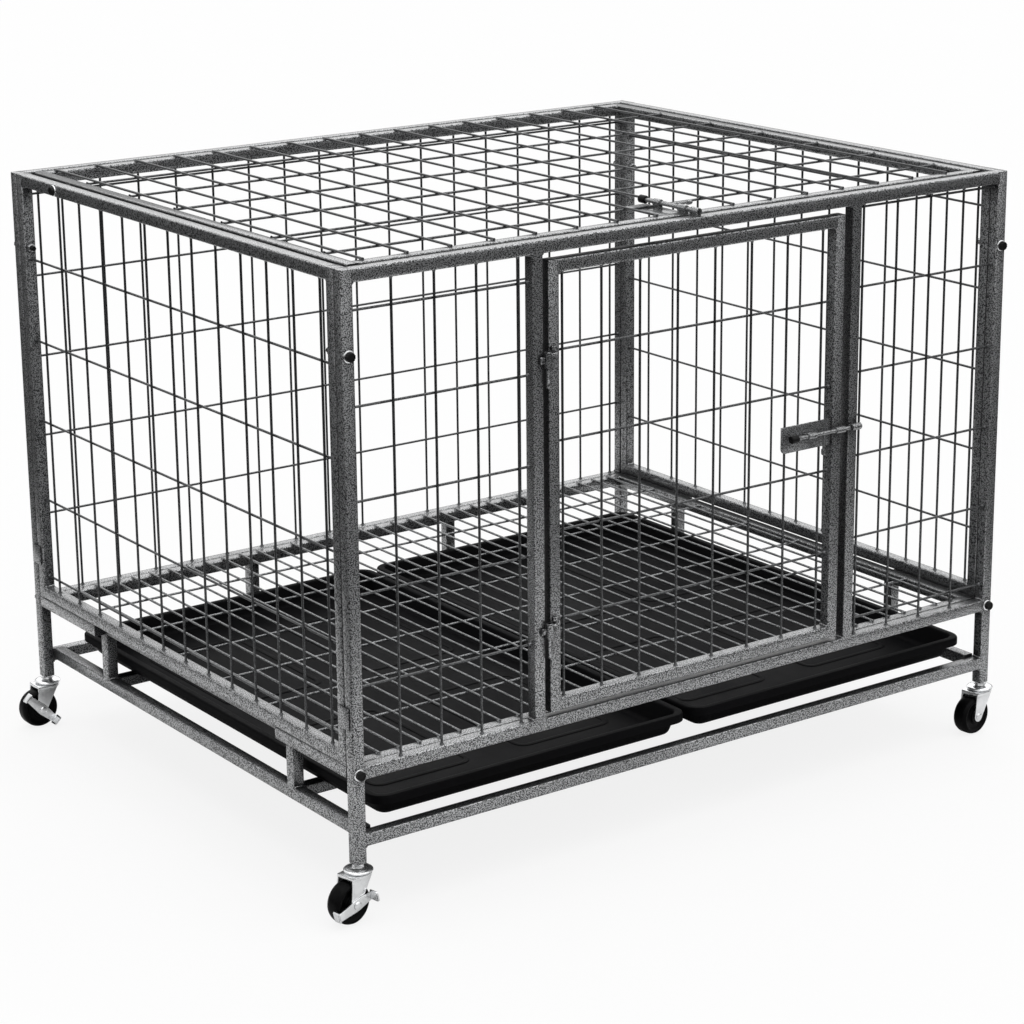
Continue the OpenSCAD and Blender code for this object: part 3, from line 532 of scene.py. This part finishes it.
wall_welds("door_mesh", "door_body", 0, (DOOR_X[0] + TUBE, -POST_Y, DOOR_Z[0] + TUBE), door_w, door_h,
           ticks(door_w, 8, UPRIGHT_PITCH), ticks(door_h, 90, ROW_PITCH), 1)

lid_anchor = LID_IN + LATCH_X + 20
lid_first = lid_anchor - LID_PITCH * int((lid_anchor - WIRE) / LID_PITCH)
lid_us = [u - LID_IN for u in ticks(2 * LID_IN, lid_first, LID_PITCH)]
lid_vs = [lid_low + v for v in ticks(lid_high - lid_low, 54, LID_ROW_PITCH)]
lap = 4
wire_welds("lid_mesh", "lid_body",
           [((way * LID_IN, y, LID_WIRE_Z - 2 * LAYER), (way, 0, 0)) for y in lid_vs for way in (-1, 1)],
           [(x, y, Z_TOP) for x in lid_us for y in (lid_low - lap, lid_high + lap)])
floor_us = [u + floor_low for u in ticks(floor_w, 19.2, FLOOR_PITCH)]
floor_vs = [v - SIDE_IN for v in ticks(side_w, 98, FLOOR_ROW_PITCH)]
wire_welds("floor_grid", "crate_body",
           [((way * -floor_low, y, FLOOR_WIRE_Z), (way, 0, 0)) for y in floor_vs for way in (-1, 1)],
           [(x, y, Z_SIDE) for x in floor_us for y in (-SIDE_IN - lap, SIDE_IN + lap)])


# Trays: a rim with a turned down edge, leaning walls, a floor with low raised rings

TRAY_W, TRAY_D, TRAY_H, TRAY_CORNER, TRAY_RIM, TRAY_LEAN = 450, 719, 28.7, 22, 10.2, 7
TRAY_X, TRAY_Y, TRAY_Z, TRAY_WALL = 229, -19.5, Z_RACK + 15.3, 2.2
RING_X, RING_Y, RING_W, RING_D = 103, 165, 140, 220


def floor_ring(w, d):
    corner, width, rise = 16, 7, 1.1
    ring = start("plane", size=1, scale=(w * MM, d * MM, 1))
    edit(True)
    pick("VERT", lambda v: True)
    bpy.ops.mesh.bevel(offset=corner * MM, segments=5, affect="VERTICES")
    pick("FACE", lambda f: True)
    bpy.ops.mesh.inset(thickness=width * MM)
    bpy.ops.mesh.delete(type="FACE")
    pick("FACE", lambda f: True)
    bpy.ops.mesh.extrude_region_move(TRANSFORM_OT_translate={"value": (0, 0, rise * MM)})
    bpy.ops.mesh.select_all(action="SELECT")
    bpy.ops.mesh.normals_make_consistent(inside=False)
    round_edges(lambda e: all(v.co.z > MM for v in e.verts)
                and not all(f.normal.z > 0.9 for f in e.link_faces), 0.7)
    edit(False)
    return ring


def tray(name, x, body):
    piece = start("plane", size=1, location=(0, 0, TRAY_H * MM), scale=(TRAY_W * MM, TRAY_D * MM, 1))
    edit(True)
    pick("VERT", lambda v: True)
    bpy.ops.mesh.bevel(offset=TRAY_CORNER * MM, segments=8, affect="VERTICES")
    pick("EDGE", lambda e: e.is_boundary)
    bpy.ops.mesh.extrude_edges_move(TRANSFORM_OT_translate={"value": (0, 0, -TRAY_H / 3 * MM)})
    pick("FACE", lambda f: f.normal.z > 0.9)
    bpy.ops.mesh.inset(thickness=TRAY_RIM * MM)
    bpy.ops.mesh.extrude_region_move(TRANSFORM_OT_translate={"value": (0, 0, -(TRAY_H - TRAY_WALL) * MM)})
    top_w, top_d = TRAY_W - 2 * TRAY_RIM, TRAY_D - 2 * TRAY_RIM
    bpy.ops.transform.resize(value=((top_w - 2 * TRAY_LEAN) / top_w, (top_d - 2 * TRAY_LEAN) / top_d, 1),
                             center_override=(0, 0, 0))
    low = (TRAY_WALL + 0.1) * MM
    high = (TRAY_H - 0.1) * MM
    edge = 5

    def outer(v):
        # On the rim's outer edge: past a straight side, or far out in a rounded corner
        x, y = abs(v.co.x) / MM - TRAY_W / 2 + TRAY_CORNER, abs(v.co.y) / MM - TRAY_D / 2 + TRAY_CORNER
        far = TRAY_CORNER - edge
        return v.co.z > high and (x > far or y > far or x > 0 and y > 0 and sqrt(x * x + y * y) > far)

    round_edges(lambda e: all(v.co.z < low for v in e.verts), 5, 4)
    round_edges(lambda e: all(outer(v) for v in e.verts), 2.6, 4)
    round_edges(lambda e: all(v.co.z > high and not outer(v) for v in e.verts)
                and any(f.normal.z < 0.9 for f in e.link_faces), 2, 3)
    edit(False)
    wall = piece.modifiers.new("wall", "SOLIDIFY")
    wall.thickness, wall.offset, wall.use_even_offset = TRAY_WALL * MM, -1, True
    bpy.ops.object.modifier_apply(modifier="wall")
    ring_spots = [at(sx * RING_X, sy * RING_Y, TRAY_WALL - 0.3) for sx in (-1, 1) for sy in (-1, 1)]
    rings = copies(floor_ring(RING_W, RING_D), ring_spots)
    piece = place(join([piece] + rings), at(x, TRAY_Y, TRAY_Z))
    bpy.ops.object.shade_smooth_by_angle(angle=radians(40))
    hand_in(piece, name + "_shell", TRAY, "tray_plastic", body, name)


tray("tray_left", -TRAY_X, "tray_left_body")
tray("tray_right", TRAY_X, "tray_right_body")


# Latches: plates, guides with feet, keepers and slide bolts

def latch_plate():
    return plate([(0, -18.8), (0, 14.2), (-79, 14.2)] + arc(-72, -11.8, 7, 180, 270, 6), 2, 0.5)


def guide(x, length, foot):
    root = 2.9
    barrel = lathe([(2.6, 0), (3.9, 0), (4.3, 0.5), (4.3, length - 0.5), (3.9, length), (2.6, length),
                    (2.6, 0)], 28)
    place(barrel, at(x) @ turn(90, "Y"))
    block = start("cube", size=1, location=((x + length / 2) * MM, 0, -(foot + root) / 2 * MM),
                  scale=(length * MM, 5.5 * MM, (foot - root) * MM))
    edit(True)
    pick("FACE", lambda f: f.normal.z < -0.9)
    bpy.ops.mesh.extrude_region_move(TRANSFORM_OT_translate={"value": (0, 0, 0)})
    bpy.ops.transform.resize(value=(1, 1.12, 1), center_override=((x + length / 2) * MM, 0, -foot * MM))
    round_edges(lambda e: abs(run_of(e).z) > 0.5, 0.8)
    edit(False)
    return join([barrel, block])


def slide_bolt(tip, handle, down):
    rod = lathe([(0, -78), (2.5, -78), (2.5, tip - 1), (1.6, tip), (0, tip)], 28)
    place(rod, turn(90, "Y"))
    grip = lathe([(0, 0), (2, 0), (2, handle - 7.4), (3, handle - 7), (3.2, handle - 6.2),
                  (3.2, handle - 1.2), (2.3, handle), (0, handle)], 24)
    place(grip, at(HANDLE_X) @ turn(90 if down else -90, "X"))
    return join([rod, grip])


def tail_cap():
    # A black end cap with a shallow dish
    cap = lathe([(2.4, -76), (4.2, -75.3), (4.78, -76.2), (4.78, -85.4), (4.1, -86.3), (2.2, -86.3),
                 (1.6, -85.2), (0, -85.2)], 28)
    return place(cap, turn(90, "Y"))


AT_DOOR_BOLT = at(DOOR_X[1], -HALF_D - BOLT_RISE, LATCH_Z) @ turn(90, "X")
AT_LID_BOLT = at(LATCH_X, LID_Y[0], Z_TOP + BOLT_RISE) @ turn(-90, "Z")
AT_DOOR_PLATE = at(DOOR_X[1] - TUBE, -384.4, LATCH_Z) @ turn(90, "X")
AT_LID_PLATE = at(LATCH_X, lid_low, Z_TOP - 4.7) @ turn(-90, "Z")

for node, spot in (("door", AT_DOOR_PLATE), ("lid", AT_LID_PLATE)):
    hand_in(place(latch_plate(), spot), node + "_latch_plate_sheet", PLATE_COAT, "frame_coat", node + "_body",
            node + "_latch_plate")

# Of each latch: its place, the far foot's drop, the tip, the handle's length and the keeper's gap
for node, spot, drop, tip, handle, gap in (("door", AT_DOOR_BOLT, 8.4, 8.5, 27, 11),
                                           ("lid", AT_LID_BOLT, 8.5, 5.5, 34, 8)):
    body, bolt = node + "_body", node + "_bolt"
    pair = join([guide(-14.5, 14, BOLT_RISE), guide(-59.5, 12, drop)])
    hand_in(place(pair, spot), node + "_guide_pair", LATCH_STEEL, "latch_coat", body, bolt + "_guides")
    keeper = place(guide(gap + 0.5, 14, BOLT_RISE), spot)
    hand_in(keeper, node + "_keeper_loop", LATCH_STEEL, "latch_coat", "crate_body", node + "_keeper")
    rod = slide_bolt(tip, handle, node == "door")
    hand_in(place(rod, spot), bolt + "_rod", LATCH_STEEL, "latch_coat", bolt + "_body", bolt)
    hand_in(place(tail_cap(), spot), bolt + "_cap", KNOB, "knob_black", bolt + "_body")


# Lift-off hinges: a bent pin on the door, a barrel on the stile

def bent_pin():
    low, bend_z, bend, reach = -42, -0.6, 3.6, 8.4
    pin = start("circle", vertices=20, radius=2.1 * MM, fill_type="NGON", location=(0, 0, low * MM))
    edit(True)
    bpy.ops.mesh.select_all(action="SELECT")
    bpy.ops.mesh.extrude_region_move(TRANSFORM_OT_translate={"value": (0, 0, (bend_z - low) * MM)})
    bpy.ops.mesh.spin(steps=8, angle=pi / 2, center=(bend * MM, 0, bend_z * MM), axis=(0, 1, 0))
    bpy.ops.mesh.extrude_region_move(TRANSFORM_OT_translate={"value": (reach * MM, 0, 0)})
    close_up()
    round_edges(lambda e: all(v.co.z < (low + 0.1) * MM for v in e.verts), 0.5)
    edit(False)
    weld = start("cube", size=1, location=(8.8 * MM, 1.4 * MM, 3 * MM), scale=(6.4 * MM, 3.2 * MM, 5 * MM))
    edit(True)
    round_edges(lambda e: True, 1.2, 3)
    edit(False)
    pin = join([pin, weld])
    bpy.ops.object.shade_smooth_by_angle(angle=radians(50))
    return pin


def hinge_barrel():
    barrel = lathe([(2.15, -18.7), (3.8, -18.7), (4.2, -18.3), (4.2, -0.7), (3.8, -0.3), (2.15, -0.3),
                    (2.15, -18.7)], 28)
    foot = plate([(-10.5, -0.4), (-3, -0.4), (-1.6, 3), (-10.5, 3)], 8, 0.6)
    place(foot, at(0, 0, -13.5))
    return join([barrel, foot])


HINGE_X, HINGE_Y, HINGE_Z = -223.5, -392, (Z_LEG + 548, Z_LEG + 230)
hinge_spots = [at(HINGE_X, HINGE_Y, z) for z in HINGE_Z]
pins = join(copies(bent_pin(), hinge_spots))
hand_in(pins, "door_hinge_bent_pins", FRAME_COAT, "frame_coat", "door_body", "door_hinge_pins")
barrels = join(copies(hinge_barrel(), hinge_spots))
hand_in(barrels, "hinge_barrel_pair", FRAME_COAT, "frame_coat", "crate_body", "hinge_barrels")


# Corner tabs, thumb screws and pivot screws

def corner_tab():
    x, y, r = 9.25, 11, 1.5
    ring = arc(x, y, r, 0, 90, 3) + arc(-x, y, r, 90, 180, 3)
    ring += arc(-x, -y, r, 180, 270, 3) + arc(x, -y, r, 270, 360, 3)
    return plate(ring, 2, 0.5)


TAB_Y, TAB_Z = 373.25, Z_LEG + 171.5
corners = [(sx, sy) for sx in (-1, 1) for sy in (-1, 1)]
at_tab = at(HALF_W, TAB_Y, TAB_Z) @ turn(90, "Y") @ turn(90, "Z")
tabs = join(copies(corner_tab(), [Matrix.Diagonal((sx, sy, 1, 1)) @ at_tab for sx, sy in corners]))
hand_in(tabs, "corner_tab_plates", FRAME_COAT, "frame_coat", "crate_body", "corner_tabs")


def knob(height):
    # A fluted cap with a soft crown and a shallow dish in its end
    sides, radius = 48, 5.5
    cap = start("cylinder", vertices=sides, radius=radius * MM, depth=height * MM,
                location=(0, 0, height / 2 * MM))
    edit(True)
    flute = lambda v: round(atan2(v.co.y, v.co.x) / (2 * pi) * sides) % 4 in (0, 1)
    pick("FACE", lambda f: f.normal.z > 0.9)
    bpy.ops.mesh.inset(thickness=1.6 * MM)
    bpy.ops.mesh.extrude_region_move(TRANSFORM_OT_translate={"value": (0, 0, -0.7 * MM)})
    pick("VERT", lambda v: flute(v) and v.co.xy.length > 5 * MM)
    bpy.ops.transform.resize(value=(0.93, 0.93, 1), center_override=(0, 0, 0))
    round_edges(lambda e: all(v.co.z > (height - 0.1) * MM and v.co.xy.length > 4.6 * MM for v in e.verts),
                1.1, 3)
    edit(False)
    bpy.ops.object.shade_smooth_by_angle(angle=radians(30))
    return cap


KNOB_H = 5
knob_spots = [at(sx * POST_X, sy * (HALF_D + WASHER), z) @ aim((0, sy, 0))
              for sx, sy in corners for z in SCREW_Z]
caps = join(copies(knob(KNOB_H), knob_spots))
hand_in(caps, "thumb_knob_caps", KNOB, "knob_black", "crate_body", "thumb_knobs")


def washer():
    return lathe([(3.05, 0), (6.6, 0), (7, 0.4), (6.9, 0.9), (6.4, 1.3), (5.6, WASHER), (3.05, WASHER),
                  (3.05, 0)], 32)


def hex_nut():
    # The crown is chamfered, with a shallow recess where the screw ends
    tall = 5
    nut = start("cylinder", vertices=6, radius=5.5 * MM, depth=tall * MM, location=(0, 0, tall / 2 * MM))
    edit(True)
    pick("FACE", lambda f: f.normal.z > 0.9)
    bpy.ops.mesh.inset(thickness=1.6 * MM)
    bpy.ops.mesh.extrude_region_move(TRANSFORM_OT_translate={"value": (0, 0, -1.2 * MM)})
    round_edges(lambda e: all(v.co.z > (tall - 0.1) * MM for v in e.verts)
                and any(f.normal.z < 0.1 for f in e.link_faces), 0.7)
    edit(False)
    bpy.ops.object.shade_smooth_by_angle(angle=radians(30))
    return nut


washers = join(copies(washer(), [spot @ at(0, 0, -WASHER) for spot in knob_spots]))
hand_in(washers, "thumb_washer_rings", ZINC, "zinc", "crate_body", "thumb_washers")
nut_spots = [at(sx * POST_X, sy * SIDE_IN, SCREW_Z[0]) @ aim((0, -sy, 0)) for sx, sy in corners]
hand_in(join(copies(hex_nut(), nut_spots)), "thumb_nut_set", ZINC, "zinc", "crate_body", "thumb_nuts")

pivot_spots = [at(side * HALF_W, PIVOT_Y, PIVOT_Z) @ aim((side, 0, 0)) for side in (-1, 1)]
pivot = join([knob(KNOB_H), lathe([(0, -38), (3.4, -38), (4, -37.2), (4, 0), (4, 0.5)], 28)])
pivots = join(copies(pivot, pivot_spots))
hand_in(pivots, "lid_pivot_knobs", KNOB, "knob_black", "crate_body", "lid_pivot_screws")
ring = lathe([(5, 0), (6.8, 0), (7, 0.3), (6.8, 1.2), (6.4, WASHER), (5, WASHER), (5, 0)], 32)
hand_in(join(copies(ring, pivot_spots)), "lid_pivot_rings", ZINC, "zinc", "crate_body")


# Casters, modelled about the stem: X along the trail, Y along the axle

TRAIL, WHEEL_R = 16, 25
FORK_HALF, PEDAL_HALF = 13.3, 15.9
AXLE = at(TRAIL, 0, WHEEL_R)
SIDEWAYS = Matrix(((0, 0, 1, 0), (1, 0, 0, 0), (0, 1, 0, 0), (0, 0, 0, 1)))


def touch(p, c, r, side):
    # Angle on a circle where the line from a point touches it
    dx, dy = p[0] - c[0], p[1] - c[1]
    return atan2(dy, dx) + side * acos(r / sqrt(dx * dx + dy * dy))


def caster_fork():
    front_x, crown_z, leg_top, leg, boss = 19.8, Z_LEG - 14.5, Z_LEG - 11.4, 2, 7
    crown = plate(arc(0, 0, 15, 84.9, 275.1, 18) + [(front_x, -FORK_HALF), (front_x, FORK_HALF)], 4.2, 1)
    place(crown, at(0, 0, crown_z))
    back, front, axle = (-9, leg_top), (front_x, leg_top), (TRAIL, WHEEL_R)
    a0, a1 = touch(front, axle, boss, -1), touch(back, axle, boss, 1)
    rim = arc(*axle, boss, a0 * 180 / pi, a1 * 180 / pi - 360, 16)
    legs = [place(plate([back, front] + rim, leg, 0.45), at(0, y) @ turn(90, "X"))
            for y in (FORK_HALF, leg - FORK_HALF)]
    return join([crown] + legs)


def caster_stem():
    # From the king pin's riveted head, over the domed race and the collar, up into the leg
    stem = lathe([(0, -16.1), (5.2, -16.1), (6, -15.5), (5.6, -14.8), (4, -14.8), (4, -10), (13, -10),
                  (15.2, -9.6), (16.5, -8.8), (17, -7.9), (16.8, -7.1), (15.8, -6.3), (13.5, -5.6),
                  (10.5, -5.2), (8, -5), (6.9, -4.3), (6.4, -2.8), (6, 0), (4, 0), (4, 18), (0, 18)], 40)
    return place(stem, at(0, 0, Z_LEG))


def caster_wheel():
    side = [(3.05, 11), (9.7, 11), (10.5, 10.4), (10.8, 8.6), (11.9, 7.9), (16.7, 7.7), (18.3, 8.4),
            (19.8, 9.9), (21, 10.4), (22, 10.3), (23.3, 9.3), (24.4, 7), (24.9, 5.3), (WHEEL_R, 2.3)]
    ring = side + [(r, -y) for r, y in reversed(side)] + [side[0]]
    return place(lathe(ring, 56, 30), turn(-90, "X"))


def rivet_head(far):
    return [(3, far), (5, far), (5, far + 1), (4.2, far + 1.9), (2.6, far + 2.4), (0, far + 2.4)]


def caster_axle(braked):
    near = [(r, -y) for r, y in reversed(rivet_head(FORK_HALF))]
    far = rivet_head(PEDAL_HALF if braked else FORK_HALF)
    return place(lathe(near + far, 28), turn(-90, "X"))


def brake_pedal(foot_angle):
    # An arm beside the fork, wider at the axle, with a ridged tab at one end and a shoe at the other
    near, thick, tab_x, shoe_x, half, half_tab = 13.6, 2, 22, -28.4, 4.5, 6.5
    lower = arc(0, 0, 7, 264.9, 276.1, 3)
    upper = arc(0, 0, 7, 83.9, 95.1, 3)
    arm = plate([(shoe_x, -half)] + lower + [(tab_x + thick, -half), (tab_x + thick, half)] + upper
                + [(shoe_x, half)], thick, 0.4)
    place(arm, at(0, near + thick) @ turn(90, "X"))
    tab = plate([(0, -half_tab)] + arc(9, -3.5, 3, 270, 360, 4) + arc(9, 3.5, 3, 0, 90, 4) + [(0, half_tab)],
                thick, 0.5)
    place(tab, at(tab_x, near) @ SIDEWAYS)
    shoe = plate([(-8, -5), (-8, 5), (-7, half_tab), (2, half_tab), (2, -half_tab), (-7, -half_tab)],
                 thick, 0.5)
    place(shoe, at(shoe_x, near) @ SIDEWAYS)
    ridges = []
    for spot in (4, 6.5, 9):
        ridge = start("cylinder", vertices=12, radius=0.7 * MM, depth=9 * MM)
        edit(True)
        round_edges(lambda e: abs(run_of(e).z) < 0.5, 0.4)
        edit(False)
        ridges.append(place(ridge, at(tab_x + 0.1, near + spot, 0)))
    pedal = join([arm, tab, shoe] + ridges)
    return place(pedal, turn(-foot_angle, "Y"))


def caster_spot(x, y, yaw):
    return at(x, y) @ turn(yaw, "Z")


CASTERS = (("front_left", -POST_X, -POST_Y, 190), ("front_right", POST_X, -POST_Y, 186),
           ("rear_left", -POST_X, POST_Y, 180), ("rear_right", POST_X, POST_Y, 40))
FOOT_ANGLES = {"front_left": 165, "rear_left": 225}
stems = join(copies(caster_stem(), [caster_spot(x, y, 0) for _, x, y, _ in CASTERS]))
hand_in(stems, "caster_stem_set", ZINC, "zinc", "crate_body", "caster_stems")
fork_pattern, wheel_pattern = caster_fork(), caster_wheel()
for name, x, y, yaw in CASTERS:
    spot = caster_spot(x, y, yaw)
    swivel, braked = "swivel_%s_body" % name, name in FOOT_ANGLES
    hand_in(copy_of(fork_pattern, spot), name + "_fork_shell", ZINC, "zinc", swivel, "fork_" + name)
    hand_in(copy_of(wheel_pattern, spot @ AXLE), name + "_wheel_tread", RUBBER, "wheel_black",
            "wheel_%s_body" % name, "wheel_" + name)
    axle = place(caster_axle(braked), spot @ AXLE)
    hand_in(axle, name + "_axle_rivet", ZINC, "zinc", swivel, "axle_" + name)
    if braked:
        pedal = place(brake_pedal(FOOT_ANGLES[name]), spot @ AXLE)
        hand_in(pedal, name + "_brake_pedal", ZINC, "zinc", "pedal_%s_body" % name, "pedal_" + name)
bpy.data.objects.remove(fork_pattern)
bpy.data.objects.remove(wheel_pattern)

for node, finish in (("thumb_shanks", KNOB), ("lid_pivot_spacers", KNOB), ("leg_inserts", PLUG)):
    repaint(node, finish)


# Studio: a pale floor, a wide soft light from above, white behind the object

FLOOR_NEAR, FLOOR_FAR, FLOOR_DIM, FLOOR_GLOW = 0.8, 1.5, 0.02, 0.85
WALL_DIM, WALL_TOP = 0.03, 0.3
PAPER, PAPER_LIGHT = (0.95, 0.95, 0.95), (0.97, 0.97, 0.97)


def ray(finish, *kinds):
    # 1 for rays of these kinds
    found = [finish.add("LightPath", out="Is %s Ray" % kind) for kind in kinds]
    both = found[0]
    for other in found[1:]:
        both = both.maths("MAXIMUM", both, other)
    return both


floor = start("plane", size=60)
floor.name = "studio_floor"
paper = Finish("studio_floor")
pale = paper.mix(paper.noise(2, 2), PAPER, PAPER_LIGHT)
away = paper.add("VectorMath", {"operation": "LENGTH"}, {0: paper.stretched(1, 0.7, 1)}, "Value")
in_gloss = paper.mix(away.spread(FLOOR_NEAR, FLOOR_FAR), PAPER, (FLOOR_DIM,) * 3)
tint = paper.mix(ray(paper, "Glossy"), (0.55, 0.55, 0.55), in_gloss)
tint = paper.mix(ray(paper, "Camera", "Transmission"), tint, pale)
sheet = paper.add("BsdfDiffuse", {}, {"Color": tint})
glow = paper.add("Emission", {}, {"Color": (1, 1, 1, 1), "Strength": 1})
floor.data.materials.append(paper.output(paper.add("MixShader", {}, {
    0: FLOOR_GLOW * ray(paper, "Camera", "Transmission"), 1: sheet, 2: glow})))

studio = Finish("studio", bpy.data.worlds.new("studio"))
bpy.context.scene.world = studio.material
height = studio.add("SeparateXYZ", {}, {0: studio.add("TexCoord", out="Generated")}, "Z")
in_gloss = ray(studio, "Glossy") * height.spread(0, WALL_TOP, WALL_DIM, 1)
shown = in_gloss.maths("MAXIMUM", in_gloss, ray(studio, "Camera", "Transmission"))
studio.output(studio.add("Background", {}, {
    "Color": (1, 1, 1, 1),
    "Strength": shown + 0.45 * ray(studio, "Diffuse")}), "World")


def sun(name, power, angle, spot):
    light = bpy.data.lights.new(name, "SUN")
    light.energy, light.angle = power, radians(angle)
    bulb = bpy.data.objects.new(name, light)
    bulb.location = spot
    bulb.rotation_euler = (-Vector(spot)).to_track_quat("-Z", "Y").to_euler()
    bpy.context.scene.collection.objects.link(bulb)


sun("top_softbox", 1.5, 80, (0.1, -0.2, 3))
sun("rear_softbox", 0.3, 50, (0.56, 0.78, 0.5))
sun("front_softbox", 0.12, 60, (0.4, -0.9, 0.4))

# Camera, as fitted to the photo: metres, degrees and pixels

EYE, PHOTO, FOCAL, SHIFT, SENSOR = (-2.0028, -2.8063, 1.3315), 1024, 2777.8, -52, 36
camera = bpy.data.objects.new("camera", bpy.data.cameras.new("camera"))
bpy.context.scene.collection.objects.link(camera)
pitch, heading, roll = radians(15.663), radians(35.606), radians(-0.554)
forward = Vector((sin(heading) * cos(pitch), cos(heading) * cos(pitch), -sin(pitch)))
right = Vector((cos(heading), -sin(heading), 0))
up = right.cross(forward)
rolled = cos(roll) * right + sin(roll) * up
upright = -sin(roll) * right + cos(roll) * up
camera.matrix_world = Matrix.Translation(EYE) @ Matrix((rolled, upright, -forward)).transposed().to_4x4()
camera.data.sensor_width = SENSOR
camera.data.lens = FOCAL / PHOTO * SENSOR
camera.data.shift_y = SHIFT / PHOTO
camera.data.clip_end = 100
bpy.context.scene.camera = camera
bpy.context.scene.view_settings.view_transform = "Standard"
